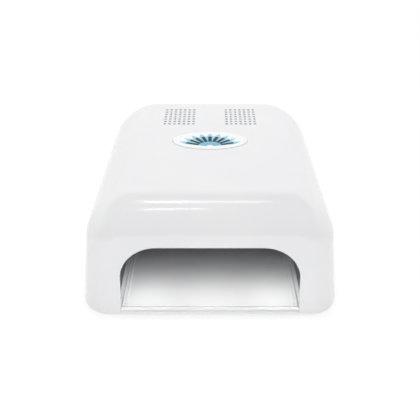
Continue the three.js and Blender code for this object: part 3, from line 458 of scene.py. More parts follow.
def shellSkin():
    # The roll, the shoulders and the corners all change along the depth, so the skin is laid section by section.
    front = [housing["rollDepth"] * (1 - math.cos(t * quarter)) for t in shares(housing["rollSteps"])]
    rear = [depth - housing["rearCornerDepth"] * (1 - math.cos(t * quarter))
            for t in reversed(shares(housing["rearSteps"]))]
    rings = [section(back) for back in front + rear]
    count = len(rings[0])
    faces = [list(range(count)), [count * (len(rings) - 1) + j for j in reversed(range(count))]]
    for i in range(len(rings) - 1):
        first = i * count
        faces += [[first + j, first + count + j, first + count + j + 1, first + j + 1] for j in range(count - 1)]
    piece = fromPoints("topHousing", [point for ring in rings for point in ring], faces)
    edit(piece)
    leave(outward=True)
    applyModifier(piece, "wall", "SOLIDIFY", thickness=housing["wall"], offset=-1, use_even_offset=True)
    return piece


def archPlane(name, half, flare, bottom, top, corner, steps, y):
    # an upright face with round upper corners: a plane turned up, flared at its foot, and beveled at two corners
    piece = addPrimitive(name, "plane", size=1, location=(0, y, (bottom + top) / 2), rotation=(quarter, 0, 0))
    piece.scale = (2 * half, top - bottom, 1)
    settle(piece)
    edit(piece, "VERT")
    choose(lambda v: v.co.z < (bottom + top) / 2, "verts")
    bpy.ops.transform.resize(value=((half + flare) / half, 1, 1), center_override=(0, y, bottom))
    choose(lambda v: v.co.z > (bottom + top) / 2, "verts")
    lean = math.atan(flare / (top - bottom))
    bpy.ops.mesh.bevel(affect="VERTICES", offset=corner / math.tan((quarter + lean) / 2), segments=steps, profile=0.5)
    leave()
    return piece


def thicken(piece, travel):
    edit(piece)
    chooseAll()
    drawOut(travel)
    leave(outward=True)
    return piece


def mouthCutter():
    face = archPlane("mouthCutter", mouth["width"] / 2, mouth["flare"], ground - beyond, ground + mouth["height"],
                     mouth["corner"], mouth["steps"], frontY - beyond)
    return thicken(face, (0, housing["wall"] + 2 * beyond, 0))


def ventCutter():
    first = addPrimitive("ventCutter", "cylinder", vertices=vents["sides"], radius=vents["width"] / 2,
                         depth=2 * beyond)
    first.scale = (1, vents["length"] / vents["width"], 1)
    settle(first)
    spots = [((side * (vents["inner"] + column * vents["pitchX"]), rearY - vents["rear"] - row * vents["pitchY"],
               roofZ), "Z")
             for side in (-1, 1) for column in range(vents["columns"]) for row in range(vents["rows"])]
    return repeat(first, "ventCutters", spots)


badgeY = rearY - badge["rearSetback"] - badge["depth"] / 2
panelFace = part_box("control_panel")[1].y
panelX = panel["width"] / 2


def badgeOval(name, grow, rings):
    radius = badge["width"] / 2 + grow
    piece = turn(name, [(radius - inset, height) for inset, height in rings], badge["sides"])
    piece.location = (0, badgeY, 0)
    piece.scale = (1, (badge["depth"] / 2 + grow) / radius, 1)
    settle(piece)
    return piece


def panelBlock(name, margins, corner, start, end):
    half = (panelX - margins[0], panel["height"] / 2 - margins[1])
    return slab(name, (0, panel["centre"]), half, start, end, corner)


def roundMouthRim():
    near, footRise = 0.1 * mm, 1 * mm
    reach, top = mouth["width"] / 2 + mouth["flare"] + near, ground + mouth["height"] + near

    def onRim(e):
        flat = all(abs(v.co.y - frontY) < 5 * sameLevel and abs(v.co.x) < reach for v in e.verts)
        heights = [v.co.z for v in e.verts]
        return flat and len(e.link_faces) == 2 and max(heights) > ground + footRise and min(heights) < top

    bevel(onRim, mouth["edge"])


bossSpots = [(side * housing["bossX"], y) for side in (-1, 1)
             for y in (frontY + housing["bossFront"], rearY - housing["bossRear"])]


def makeTopHousing():
    piece = shellSkin()
    gap, corner, inner = panel["gap"], panel["corner"], rearY - housing["wall"] - beyond
    carve(piece, mouthCutter())
    carve(piece, ventCutter())
    carve(piece, badgeOval("badgeCutter", badge["gap"], [(0, roofZ - badge["recess"]), (0, roofZ + beyond)]))
    carve(piece, panelBlock("recessCutter", (-gap, -gap), corner + gap, rearY - panel["recess"], rearY + beyond))
    carve(piece, panelBlock("windowCutter", (panel["ledge"], panel["sill"]), corner / 2, inner, rearY))
    edit(piece, "EDGE")
    roundMouthRim()
    leave()
    bosses = [rod("boss", housing["bossRadius"], housing["baseTop"] + play, housing["bossTop"], postSteps, (x, y, 0))
              for x, y in bossSpots]
    piece = joinPieces([piece] + bosses, "topHousing")
    dress(piece, "glossyWhiteAbs", ["top_housing"])
    print("top housing:", len(piece.data.polygons), "faces")


def makeBadge():
    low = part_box("badge_plate")[0].z
    top = low + badge["thickness"]
    rings = [(badge["footInset"], low), (0, low + badge["footRise"])]
    rings += [(inside * mm, top - below * mm) for inside, below in badge["round"]]
    piece = badgeOval("badgePlate", 0, rings)
    badgeLacquer(badgeY)
    dress(piece, "badgeLacquer", ["badge_plate"])


makeTopHousing()
makeBadge()
print("shell made")

# Tray, base and feet

tray = inMm(
    floor=6.7, bottom=5.2, edge=0.2, lipDepth=4.4, lipTop=7.9, lipBottom=3.6, lipRound=0.5, beadBottom=7.3,
    shadowGap=0.5, beadSetback=0.5, beadRound=0.25, neckFoot=5.7, groove=3.2, grooveFloor=5.6, grooveLap=0.5,
    ribInset=2.6, ribWidth=1.6, ribHeight=1, ribRound=0.3, ribSetback=2, ribFoot=5.3,
)
base = inMm(
    inset=2.9, edge=0.4, railWidth=4.5, railHeight=6, railGap=0.4, railSunk=1, railRearGap=0.3, ventWidth=3,
    ventLength=44, ventPitch=12, postRadius=3, postHeight=7.4, postInset=5, postSunk=0.5, holeRadius=1.7,
    screwGap=0.3,
) | {"steps": 48, "ventSlots": 6, "ventRoundShare": 0.98}
foot = inMm(radius=7, height=2.45, round=0.6, stub=2.4, stubTop=4.1, hollow=3, hollowEdge=2.6, hollowDepth=0.25)
housingScrew = inMm(shank=1.4, length=11, headRadius=2.9, headHeight=1.1, slotWidth=0.7, slotDepth=0.5)
panelScrew = inMm(shank=1, length=5, headRadius=1.9, headHeight=0.9, slotWidth=0.5, slotDepth=0.4)


def makeTray():
    low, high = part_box("tray")
    half, front, rear = high.x, low.y, high.y
    lipBack = front + tray["lipDepth"]
    plateFront = lipBack + tray["groove"]
    beadBottom, bottom, floor = tray["beadBottom"], tray["bottom"], tray["floor"]
    setback, rim, lap = tray["beadSetback"], tray["lipRound"], tray["grooveLap"]
    pieces = [
        # the lip, and over a shadow gap the bead along its top
        block("lip", (-half, front, tray["lipBottom"]), (half, lipBack, beadBottom - tray["shadowGap"]), rim, "X", 4),
        block("neck", (-half + rim, front + 2 * setback, tray["neckFoot"]),
              (half - rim, lipBack - rim, beadBottom + rim)),
        block("bead", (-half, front + setback, beadBottom), (half, lipBack, tray["lipTop"]),
              tray["beadRound"], "X", 4),
        block("grooveFloor", (-half, lipBack - lap, bottom), (half, plateFront + lap, tray["grooveFloor"])),
        block("plate", (-half, plateFront, bottom), (half, rear, floor), rims="+", rim=tray["edge"]),
    ]
    outer = half - tray["ribInset"]
    for side in (-1, 1):
        left, right = sorted((side * outer, side * (outer - tray["ribWidth"])))
        pieces.append(block("rib", (left, plateFront + tray["ribSetback"], tray["ribFoot"]),
                            (right, rear - tray["edge"], floor + tray["ribHeight"]), rims="+", rim=tray["ribRound"]))
    dress(joinPieces(pieces, "trayPull"), "trayWhiteAbs", ["tray"], "tray")


def makeBase():
    inset, top = base["inset"], housing["baseTop"]
    backs = [inset + (depth - 2 * inset) * (1 - math.cos(t * math.pi)) / 2 for t in shares(base["steps"])]
    rightEdge = [(halfWidth(back) - inset, frontY + back, ground) for back in backs]
    outline = rightEdge + [(-x, y, z) for x, y, z in reversed(rightEdge)]
    piece = thicken(fromPoints("basePlate", outline, [list(range(len(outline)))]), (0, 0, top - ground))
    edit(piece, "EDGE")
    bevel(lambda e: all(abs(v.co.z - ground) < sameLevel for v in e.verts), base["edge"])
    leave()
    (driverLow, driverHigh), (domeLow, domeHigh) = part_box("driver_board"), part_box("reflector_dome")
    driverMiddle = (driverLow.y + driverHigh.y) / 2
    below, above = ground - beyond, top + beyond
    halfX, halfY = base["ventWidth"] / 2, base["ventLength"] / 2
    ventXs = [(i - (base["ventSlots"] - 1) / 2) * base["ventPitch"] for i in range(base["ventSlots"])]
    cutters = [block("slot", (x - halfX, driverMiddle - halfY, below), (x + halfX, driverMiddle + halfY, above),
                     halfX * base["ventRoundShare"]) for x in ventXs]
    gap = base["screwGap"]
    headRadius, sink = housingScrew["headRadius"] + gap, ground + (housingScrew["headHeight"] + gap)
    hole = [(headRadius, below), (headRadius, sink), (base["holeRadius"], sink), (base["holeRadius"], above)]
    cutters += [turn("hole", hole, postSteps, (x, y, 0)) for x, y in bossSpots]
    carve(piece, *cutters)
    railInside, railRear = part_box("tray")[1].x + base["railGap"], domeHigh.y - base["railRearGap"]
    postX, postFoot, postTop = driverHigh.x - base["postInset"], top - base["postSunk"], top + base["postHeight"]
    extras = []
    for side in (-1, 1):
        left, right = sorted((side * railInside, side * (railInside + base["railWidth"])))
        extras.append(block("rail", (left, domeLow.y, top - base["railSunk"]),
                            (right, railRear, top + base["railHeight"]), rims="+", rim=base["edge"]))
        extras += [rod("post", base["postRadius"], postFoot, postTop, postSteps, (side * postX, y, 0))
                   for y in (driverLow.y + base["postInset"], driverHigh.y - base["postInset"])]
    dress(joinPieces([piece] + extras, "basePlate"), "baseGreyAbs", ["base_plate"])


def makeFeet():
    r, rim = foot["radius"], foot["round"]
    rings = [(r - foot["hollow"], foot["hollowDepth"]), (r - foot["hollowEdge"], 0), (r - rim, 0),
             (r - 0.3 * rim, 0.3 * rim), (r, rim), (r, foot["height"]), (foot["stub"], foot["height"]),
             (foot["stub"], foot["stubTop"])]
    for end in ("front_left", "rear_left", "front_right", "rear_right"):
        low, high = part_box("foot_" + end)
        place = ((low.x + high.x) / 2, (low.y + high.y) / 2, 0)
        piece = turn("foot" + end.title().replace("_", ""), rings, 32, place)
        dress(piece, "footRubber", ["foot_" + end])


screwPoint = 1.2 * mm  # length of the tapered end
# outline of a pan head from its underside to its top, in shares of its radius and height
panHead = ((0.95, 1), (1, 0.75), (1, 0.4), (0.88, 0.1), (0.7, 0))


def makeScrew(node, size, toward):
    # a slotted pan head screw in the place of a packed one, its head at the end that it points away from
    shank, length, headRadius, headHeight, slotWidth, slotDepth = size.values()
    low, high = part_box(node)
    place = (low + high) / 2
    axis = "XYZ".index(toward[-1])
    place[axis] = (high if "-" in toward else low)[axis]
    end = headHeight + length
    rings = [(0.3 * shank, end), (shank, end - screwPoint), (shank, headHeight)]
    rings += [(headRadius * across, headHeight * down) for across, down in panHead]
    piece = turn(node.replace("_screw_", "Screw"), rings, 32, place, toward)
    sides = [headRadius * 1.2] * 3
    sides[axis], sides[2 if axis == 1 else 1] = slotDepth, slotWidth / 2
    carve(piece, block("slot", [p - s for p, s in zip(place, sides)], [p + s for p, s in zip(place, sides)]))
    dress(piece, "zincSteel", [node])


makeTray()
makeBase()
makeFeet()
for number in range(1, 5):
    makeScrew("housing_screw_" + str(number), housingScrew, "Z")
for number in (1, 2):
    makeScrew("panel_screw_" + str(number), panelScrew, "-Y")
print("tray, base, feet and screws made")

# Reflector and LEDs

reflector = inMm(sheet=0.8, half=79.1, top=71.8, corner=34, foot=4.95, flange=11.8, window=3) | {"steps": 28}
led = inMm(
    radius=2.5, height=2.2, shoulder=1.0, base=2.4, baseHeight=0.7, die=0.8, dieSunk=0.1, dieProud=0.12, lensGap=0.02,
    board=1.6, boardCorner=1,
) | {"steps": 28, "domeSteps": 7, "domeShare": 0.98}
ledRows = inMm(margin=14, longMargin=15, backMargin=13) | {"columns": 3, "rows": 4, "backColumns": 2}


def rowInside(count, box, axis, margin):
    low, high = box[0][axis], box[1][axis]
    return [low + margin + i * (high - low - 2 * margin) / (count - 1) for i in range(count)]


topBox, leftBox, rightBox, backBox = (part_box("led_board_" + name) for name in ("top", "left", "right", "back"))
ledYs = rowInside(ledRows["rows"], topBox, 1, ledRows["longMargin"])
sideZ, backZ = (leftBox[0].z + leftBox[1].z) / 2, (backBox[0].z + backBox[1].z) / 2
boardFaces = {
    "top": topBox[0].z + led["height"], "left": leftBox[1].x - led["height"], "right": rightBox[0].x + led["height"],
    "back": backBox[0].y + led["height"],
}
ledSpots = [((x, y, boardFaces["top"]), "-Z") for y in ledYs
            for x in rowInside(ledRows["columns"], topBox, 0, ledRows["margin"])]
ledSpots += [((boardFaces["left"], y, sideZ), "X") for y in ledYs]
ledSpots += [((boardFaces["right"], y, sideZ), "-X") for y in ledYs]
ledSpots += [((x, boardFaces["back"], backZ), "-Y")
             for x in rowInside(ledRows["backColumns"], backBox, 0, ledRows["backMargin"])]


def carveWindows(piece, inBack):
    # a round window for each LED of the dome or of the back plate
    carve(piece, *[rod("window", reflector["window"], -beyond, beyond, 32, place, toward)
                   for place, toward in ledSpots if (toward == "-Y") == inBack])


def makeDome():
    low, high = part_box("reflector_dome")
    length = high.y - low.y
    near = 0.01 * mm
    atFoot, atSide = reflector["foot"] + near, reflector["half"] + near
    piece = archPlane("reflectorDome", reflector["half"], 0, reflector["foot"], reflector["top"],
                      reflector["corner"], reflector["steps"], low.y)
    # the arch's outline without its foot is drawn out to the rear, and then its two feet out to the sides
    edit(piece)
    chooseAll()
    bpy.ops.mesh.delete(type="ONLY_FACE")
    bpy.ops.mesh.select_mode(type="EDGE")
    choose(lambda e: all(v.co.z < atFoot for v in e.verts), "edges")
    bpy.ops.mesh.delete(type="EDGE")
    chooseAll()
    drawOut((0, length, 0))
    for side in (-1, 1):
        choose(lambda e: all(v.co.z < atFoot and v.co.x * side > 0 for v in e.verts) and
               abs(e.verts[0].co.y - e.verts[1].co.y) > length / 2 and abs(e.verts[0].co.x) < atSide, "edges")
        drawOut((side * reflector["flange"], 0, 0))
    bpy.ops.mesh.select_mode(type="FACE")
    chooseAll()
    bpy.ops.mesh.normals_make_consistent(inside=False)
    if choose(lambda f: f.normal.z > 0.9 and f.calc_center_median().z > reflector["half"] / 2) == 0:
        chooseAll()
        bpy.ops.mesh.flip_normals()
    leave()
    applyModifier(piece, "sheet", "SOLIDIFY", thickness=reflector["sheet"], offset=1, use_even_offset=True)
    carveWindows(piece, inBack=False)
    dress(piece, "satinAluminium", ["reflector_dome"], angle=25)


def makeReflectorBack():
    low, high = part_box("reflector_back")
    sheet = reflector["sheet"]
    face = archPlane("reflectorBack", reflector["half"] + sheet, 0, low.z, high.z, reflector["corner"] + sheet,
                     reflector["steps"], low.y)
    piece = thicken(face, (0, sheet, 0))
    carveWindows(piece, inBack=True)
    dress(piece, "satinAluminium", ["reflector_back"])


def makeLedBoards():
    for name, (low, high), axis, side in (("top", topBox, "Z", 1), ("left", leftBox, "X", -1),
                                          ("right", rightBox, "X", 1), ("back", backBox, "Y", 1)):
        low, high, along, face = low.copy(), high.copy(), "XYZ".index(axis), boardFaces[name]
        low[along], high[along] = sorted((face, face + side * led["board"]))
        piece = block("ledBoard" + name.title(), low, high, led["boardCorner"], axis)
        dress(piece, "whiteSolderMask", ["led_board_" + name])


def makeLeds():
    seat, rise, top = led["baseHeight"], led["shoulder"], led["height"]
    ceramic = rod("ledBases", led["base"], -play, seat, 4)
    die = rod("ledDies", led["die"], seat - led["dieSunk"], seat + led["dieProud"], 4)
    angles = [t * quarter * led["domeShare"] for t in shares(led["domeSteps"])]
    dome = [(led["radius"] * math.cos(angle), rise + (top - rise) * math.sin(angle)) for angle in angles]
    lens = turn("ledLenses", [(led["radius"], seat + led["lensGap"])] + dome, led["steps"])
    clearEpoxy()
    for piece, finish in ((ceramic, "ledCeramic"), (die, "ledDie"), (lens, "clearEpoxy")):
        dress(repeat(piece, piece.name, ledSpots), finish)


makeDome()
makeReflectorBack()
makeLedBoards()
makeLeds()
print("reflector and LEDs made")

# Rear panel and its controls

rocker = inMm(
    x=46, bezelWidth=15, bezelHeight=21, bezelEdge=0.5, proud=1.6, bodyWidth=12.6, bodyHeight=18.8, bodyDepth=16,
    bodyCorner=0.4, wellSide=0.3, wellEnd=0.4, wellCorner=0.6, width=9.2, radius=7.9, edge=0.35, pivotDepth=3.4,
    pin=1.1, pinLength=0.8, tip=3.6, middle=2, terminalWidth=4.8, terminalThickness=0.8, terminalLength=7,
    terminalPitch=7, terminalSunk=0.5, terminalCorner=0.8,
) | {"valley": 1.3, "tilt": 10, "steps": 32}
rockerMark = inMm(sunk=0.2, corner=0.25, ring=1.6, ringInner=1.15) | {"share": 0.58, "stroke": (0.3 * mm, 1.4 * mm)}
panelMark = inMm(pitch=1.8, rise=8.9, corner=0.4, sunk=0.2, proud=0.02) | {"half": (0.45 * mm, 1.5 * mm)}
panelPost = inMm(radius=2.4, x=32, sunk=0.5)
button = inMm(
    pitch=18, radius=4.5, proud=1.8, dish=0.25, flange=5.8, flangeDepth=1, flangeGap=0.3, stem=1.7, stemReach=0.6,
    dishEdge=2.4, dishMiddle=0.4,
) | {"round": ((0, 0.6), (0.08, 0.32), (0.26, 0.12), (0.5, 0.02), (0.8, 0), (1.2, 0.05))}
jack = inMm(
    x=-46, barrel=5.5, bore=3.1, boreDepth=9, proud=2.6, flange=7.5, flangeDepth=2, length=13, chamfer=0.5, edge=0.35,
    boreEdge=0.3, nut=7.4, nutHeight=2, nutEdge=0.3, nutPlay=0.25, pin=1, pinLength=8,
) | {"pinTip": (0.3 * mm, 0.4 * mm)}
panelZ = panel["centre"]
pivotY = panelFace + rocker["proud"] - rocker["pivotDepth"]
buttonXs = {"short": -button["pitch"], "long": 0, "hold": button["pitch"]}
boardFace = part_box("control_board")[1].y


def rodY(name, radius, start, end, x, steps=32):
    return rod(name, radius, start, end, steps, (x, 0, panelZ), "Y")


def makePanel():
    inner = panelFace - panel["thickness"]
    back, front, gap = inner - beyond, panelFace + beyond, panel["gap"]
    piece = slab("controlPanel", (0, panelZ), (panelX, panel["height"] / 2), inner, panelFace, panel["corner"],
                 10, "+", panel["edge"])
    cutters = [slab("rockerHole", (rocker["x"], panelZ),
                    (rocker["bodyWidth"] / 2 + gap, rocker["bodyHeight"] / 2 + gap), back, front)]
    cutters += [rodY("jackHole", jack["barrel"] + gap, back, front, jack["x"], 48)]
    cutters += [rodY("buttonHole", button["radius"] + gap, back, front, x, 48) for x in buttonXs.values()]
    headRadius, shank = panelScrew["headRadius"] + gap, panelScrew["shank"] + gap
    sink = panelFace - panelScrew["headHeight"] - gap
    hole = [(shank, back), (shank, sink), (headRadius, sink), (headRadius, front)]
    screwX = panelX - panel["ledge"] / 2
    cutters += [turn("screwHole", hole, 32, (x, 0, panelZ), "Y") for x in (-screwX, screwX)]
    carve(piece, *cutters)
    posts = [rodY("post", panelPost["radius"], boardFace + play, inner + panelPost["sunk"], x)
             for x in (-panelPost["x"], panelPost["x"])]
    dress(joinPieces([piece] + posts, "controlPanel"), "panelGreyAbs", ["control_panel"])


def makePanelMarks():
    # over each timer button one, two or three short bars, for its time
    bars = []
    for count, x in enumerate(buttonXs.values(), 1):
        for i in range(count):
            middle = (x + (i - (count - 1) / 2) * panelMark["pitch"], panelZ + panelMark["rise"])
            bars.append(slab("bar", middle, panelMark["half"], panelFace - panelMark["sunk"],
                             panelFace + panelMark["proud"], panelMark["corner"]))
    dress(joinPieces(bars, "panelMarks"), "markInk")


def makeSwitchBody():
    x, proud, end = rocker["x"], rocker["proud"], panelFace - rocker["bodyDepth"]
    middle = (x, panelZ)
    bezel = slab("bezel", middle, (rocker["bezelWidth"] / 2, rocker["bezelHeight"] / 2), panelFace + play,
                 panelFace + proud, proud, 6, "+", rocker["bezelEdge"])
    body = slab("body", middle, (rocker["bodyWidth"] / 2, rocker["bodyHeight"] / 2), end, panelFace + proud / 2,
                rocker["bodyCorner"], 3)
    reach = rocker["radius"] + rocker["wellEnd"]
    for piece in (bezel, body):
        carve(piece, slab("well", middle, (rocker["width"] / 2 + rocker["wellSide"], reach), pivotY - reach,
                          panelFace + beyond, rocker["wellCorner"], 3))
    halfX, halfZ = rocker["terminalWidth"] / 2, rocker["terminalThickness"] / 2
    terminals = [block("terminal", (x - halfX, end - rocker["terminalLength"], z - halfZ),
                       (x + halfX, end + rocker["terminalSunk"], z + halfZ), rocker["terminalCorner"], "Z", 3)
                 for z in (panelZ + place * rocker["terminalPitch"] for place in (-1, 0, 1))]
    dress(joinPieces([bezel, body], "powerSwitchBody"), "blackMoulding", ["power_switch_body"])
    dress(joinPieces(terminals, "switchTerminals"), "zincSteel")


def tilted(piece):
    # from its own axis at 0 to the rocker's pivot, at its rest angle
    return put(piece, (rocker["x"], pivotY, panelZ), (math.radians(rocker["tilt"]), 0, 0))


def makeRocker():
    radius, half, middle = rocker["radius"], rocker["width"] / 2, rocker["middle"]
    tip, dip = math.asin(rocker["tip"] / radius), rocker["tip"] - middle
    reach, pinEnd = radius * math.cos(tip), half + rocker["pinLength"]
    sweep = [quarter - tip + t * (math.pi + 2 * tip) for t in shares(rocker["steps"])]
    # the face dips to its middle in a soft valley
    face = [(middle + dip * abs(t) ** rocker["valley"], t * reach) for t in [i / 8 for i in range(-7, 8)]]
    outline = [(radius * math.cos(a), radius * math.sin(a)) for a in sweep] + face
    key = fromPoints("powerRocker", [(-half, y, z) for y, z in outline], [list(range(len(outline)))])
    thicken(key, (2 * half, 0, 0))
    edit(key, "EDGE")
    bevel(lambda e: abs(e.verts[0].co.x - e.verts[1].co.x) < sameLevel, rocker["edge"])
    leave()
    pins = rod("pins", rocker["pin"], -pinEnd, pinEnd, 20, toward="X")
    piece = tilted(joinPieces([key, pins], "powerRocker"))
    dress(piece, "rockerGlossBlack", ["power_rocker"], "power_rocker")
    outer, inner, sunk, share = (rockerMark[key] for key in ("ring", "ringInner", "sunk", "share"))
    stroke = slab("stroke", (0, 0), rockerMark["stroke"], -sunk, play, rockerMark["corner"])
    ring = turn("ring", [(outer, -sunk), (outer, play), (inner, play), (inner, -sunk)], 32, (0, 0, 0), "Y")
    for mark, side in ((stroke, -1), (ring, 1)):
        place = (0, middle + dip * share ** rocker["valley"], side * share * reach)
        put(mark, place, (-side * math.atan(dip / reach), 0, 0))
    dress(tilted(joinPieces([stroke, ring], "rockerMarks")), "whiteInk", body="power_rocker")


def makeButtons():
    inner = -panel["thickness"] - button["flangeGap"]
    under = inner - button["flangeDepth"]
    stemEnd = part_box("tact_switch_short")[1].y - button["stemReach"] - panelFace
    r, top, stem, flange = button["radius"], button["proud"], button["stem"], button["flange"]
    rings = [(stem, stemEnd), (stem, under), (flange, under), (flange, inner), (r, inner)]
    rings += [(r - inside * mm, top - below * mm) for inside, below in button["round"]]
    rings += [(r - button["dishEdge"], top - button["dish"] * 0.8), (button["dishMiddle"], top - button["dish"])]
    for name, x in buttonXs.items():
        node = "timer_button_" + name
        piece = turn("timerButton" + name.title(), rings, 48, (x, panelFace, panelZ), "Y")
        dress(piece, "buttonWhiteAbs", [node], node)


def makeInlet():
    barrel, bore, flange, proud = jack["barrel"], jack["bore"], jack["flange"], jack["proud"]
    chamfer, edge, boreEdge, start = jack["chamfer"], jack["edge"], jack["boreEdge"], -jack["length"]
    inner, floor = -panel["thickness"] - play, proud - jack["boreDepth"]
    under = inner - jack["flangeDepth"]
    rings = [(barrel - chamfer, start), (barrel, start + chamfer), (barrel, under), (flange, under), (flange, inner),
             (barrel, inner), (barrel, proud - edge), (barrel - edge, proud), (bore + boreEdge, proud),
             (bore, proud - boreEdge), (bore, floor)]
    spot = (jack["x"], panelFace, panelZ)
    dress(turn("dcInlet", rings, 48, spot, "Y"), "blackMoulding", ["dc_inlet"])
    radius, low, high = jack["pin"], floor + play, floor + play + jack["pinLength"]
    pin = [(radius, low), (radius, high - jack["pinTip"][1]), (radius - jack["pinTip"][0], high)]
    dress(turn("dcInletPin", pin, 20, spot, "Y"), "zincSteel", ["dc_inlet_pin"])
    radius, low, high, edge = jack["nut"], play, play + jack["nutHeight"], jack["nutEdge"]
    rings = [(radius - chamfer, low), (radius, low + edge), (radius, high - edge), (radius - chamfer, high)]
    nut = turn("dcInletNut", rings, 6, spot, "Y")
    carve(nut, rodY("nutHole", barrel + jack["nutPlay"], panelFace - 1 * mm, panelFace + beyond, jack["x"], 48))
    dress(nut, "zincSteel", ["dc_inlet_nut"])


makePanel()
makePanelMarks()
makeSwitchBody()
makeRocker()
makeButtons()
makeInlet()
print("rear controls made")

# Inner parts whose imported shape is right: they take a finish each

innerFinishes = {
    "greenSolderMask": ["driver_board", "control_board"],
    "zincSteel": [kind + "_screw_" + str(i) for kind in ("driver", "reflector") for i in range(1, 5)] +
                 ["control_board_screw_1", "control_board_screw_2"],
    "enamelledCopper": ["choke"],
    "relayBlue": ["relay"],
    "sleeveNavy": ["main_capacitor"],
    "extrudedAluminium": ["heat_sink"],
    "blackMoulding": ["driver_transistor", "timer_chip", "tact_switch_short", "tact_switch_long", "tact_switch_hold"],
    "socketNylon": ["led_socket", "panel_socket"],
    "redPvc": ["lead_inlet_to_switch", "lead_switch_to_driver"],
    "greyPvc": ["lead_panel_to_driver"],
    "blackPvc": ["lead_top_board", "lead_left_board", "lead_right_board", "lead_back_board"],
}
for finish, names in innerFinishes.items():
    for name in names:
        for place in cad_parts[name].material_slots:
            place.material = bpy.data.materials[finish]
print("inner parts finished")

# Studio

studio = {
    "floor": "#f4f4f4", "floorSize": 6, "glowShare": 0.7, "glow": 1.1,
    "tent": 0.78, "tentFront": 1.75, "tentRise": (0.4, 0.65), "tentTurn": (-0.7, -0.3),
    "frontWall": 0.1, "rearWall": 1.0, "wallTurn": (-0.3, 0.3), "ceiling": 0.1, "wallTop": (0.5, 0.7),
    "cameraBack": 431.7 * mm, "cameraHeight": 347.2 * mm, "pitch": 29.3, "sensor": 36, "clip": (0.01, 20),
    "focusPixels": 633.8, "widthPixels": 420,
}
chamber = {
    "size": (24 * mm, 6 * mm), "back": 22 * mm, "height": 53 * mm, "spread": 1.15,
    "powers": {-58 * mm: 0.0152, 0: 0.0118, 58 * mm: 0.0152},
}


def mirrorRays(tree, rays):
    either = addNode(tree, "Math", {"operation": "MAXIMUM"},
                     {0: rays.outputs["Is Glossy Ray"], 1: rays.outputs["Is Transmission Ray"]})
    return either.outputs[0]


def makeFloor():
    piece = addPrimitive("studioFloor", "plane", size=studio["floorSize"])
    tree = startMaterial("palePaper")
    light = addNode(tree, "BsdfDiffuse", {"Color": colour(studio["floor"])})
    glow = addNode(tree, "Emission", {"Color": (1, 1, 1, 1), "Strength": studio["glow"]})
    rays = addNode(tree, "LightPath")
    seen = addNode(tree, "Math", {"operation": "MAXIMUM"},
                   {0: rays.outputs["Is Camera Ray"], 1: mirrorRays(tree, rays)})
    seen = addNode(tree, "Math", {"operation": "MULTIPLY", 1: studio["glowShare"]}, {0: seen.outputs[0]})
    mixed = addNode(tree, "MixShader", links={0: seen.outputs[0], 1: light.outputs[0], 2: glow.outputs[0]})
    addNode(tree, "OutputMaterial", links={"Surface": mixed.outputs[0]})
    piece.data.materials.append(bpy.data.materials["palePaper"])


def smoothStep(tree, source, span, low, high):
    # goes smoothly from low, a number or another node's output, to high while the source crosses the span
    settings = {"interpolation_type": "SMOOTHSTEP", "From Min": span[0], "From Max": span[1], "To Max": high}
    links = {"Value": source}
    (settings if isinstance(low, float) else links)["To Min"] = low
    return addNode(tree, "MapRange", settings, links).outputs["Result"]


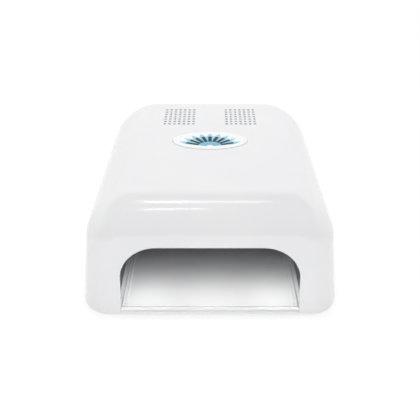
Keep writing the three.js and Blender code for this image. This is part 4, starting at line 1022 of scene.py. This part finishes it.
def makeWorld():
    world = bpy.data.worlds.new("studioWorld")
    bpy.context.scene.world = world
    world.use_nodes = True
    tree = world.node_tree
    tree.nodes.clear()
    rays = addNode(tree, "LightPath")
    place = addNode(tree, "TexCoord").outputs["Generated"]
    split = addNode(tree, "SeparateXYZ", links={"Vector": place})
    back, up = split.outputs["Y"], split.outputs["Z"]
    # Reflections show a white wall behind the object, a dimmer room in front and a dark ceiling.
    wall = smoothStep(tree, back, studio["wallTurn"], studio["frontWall"], studio["rearWall"])
    room = smoothStep(tree, up, studio["wallTop"], wall, studio["ceiling"])
    # A white tent lights the object. Its foot is dark on the camera's side, so light fades with depth in the mouth.
    front = smoothStep(tree, up, studio["tentRise"], 0.0, studio["tentFront"])
    tent = smoothStep(tree, back, studio["tentTurn"], front, studio["tent"])
    strength = addNode(tree, "Mix", links={0: mirrorRays(tree, rays), 2: tent, 3: room})
    shade = addNode(tree, "Background", {"Color": (1, 1, 1, 1)}, {"Strength": strength.outputs[0]})
    white = addNode(tree, "Background", {"Color": (1, 1, 1, 1), "Strength": 1.0})
    mixed = addNode(tree, "MixShader",
                    links={0: rays.outputs["Is Camera Ray"], 1: shade.outputs[0], 2: white.outputs[0]})
    addNode(tree, "OutputWorld", links={"Surface": mixed.outputs[0]})


def addLamp(name, power, size, location, target, mirrored=True):
    data = bpy.data.lights.new(name, "AREA")
    data.shape = "RECTANGLE"
    data.size, data.size_y = size
    data.energy = power
    lamp = bpy.data.objects.new(name, data)
    bpy.context.scene.collection.objects.link(lamp)
    lamp.location = location
    lamp.rotation_euler = (Vector(target) - Vector(location)).to_track_quat("-Z", "Y").to_euler()
    lamp.visible_glossy = mirrored


def makeCamera():
    data = bpy.data.cameras.new("studioCamera")
    data.lens = studio["focusPixels"] / studio["widthPixels"] * studio["sensor"]
    data.sensor_width = studio["sensor"]
    data.clip_start, data.clip_end = studio["clip"]
    camera = bpy.data.objects.new("studioCamera", data)
    bpy.context.scene.collection.objects.link(camera)
    camera.location = (0, frontY - studio["cameraBack"], studio["cameraHeight"])
    camera.rotation_euler = (quarter - math.radians(studio["pitch"]), 0, 0)
    bpy.context.scene.camera = camera


makeFloor()
makeWorld()
# soft light from outside and a little inside the mouth, none of it seen in reflections
addLamp("rearSoftbox", 2.95, (1, 1), (0, 0.8, 1.4), (0, 0, 0.1), mirrored=False)
addLamp("floorSoftbox", 0.95, (1.6, 0.5), (0, -0.6, 0.22), (0, -0.58, 0), mirrored=False)
addLamp("frontFill", 0.5, (1.2, 0.05), (0, -0.75, 0.035), (0, frontY, 0.035), mirrored=False)
for (x, power), side in zip(chamber["powers"].items(), ("Left", "Middle", "Right")):
    addLamp("chamberStrip" + side, power, chamber["size"], (x, frontY + chamber["back"], chamber["height"]),
            (x * chamber["spread"], frontY, 0), mirrored=False)
# the streaks of light on the front roll
addLamp("upperStrip", 0.19, (0.304, 0.04), (-0.01, 0.481, 0.908), (0, -0.106, 0.097))
addLamp("upperStripLeft", 0.12, (0.12, 0.04), (-0.102, 0.481, 0.907), (0, -0.106, 0.097))
addLamp("lowerStrip", 0.14, (0.156, 0.035), (-0.092, 0.249, 1.027), (0, -0.114, 0.095))
makeCamera()
bpy.context.scene.view_settings.view_transform = "Standard"
print("studio made")
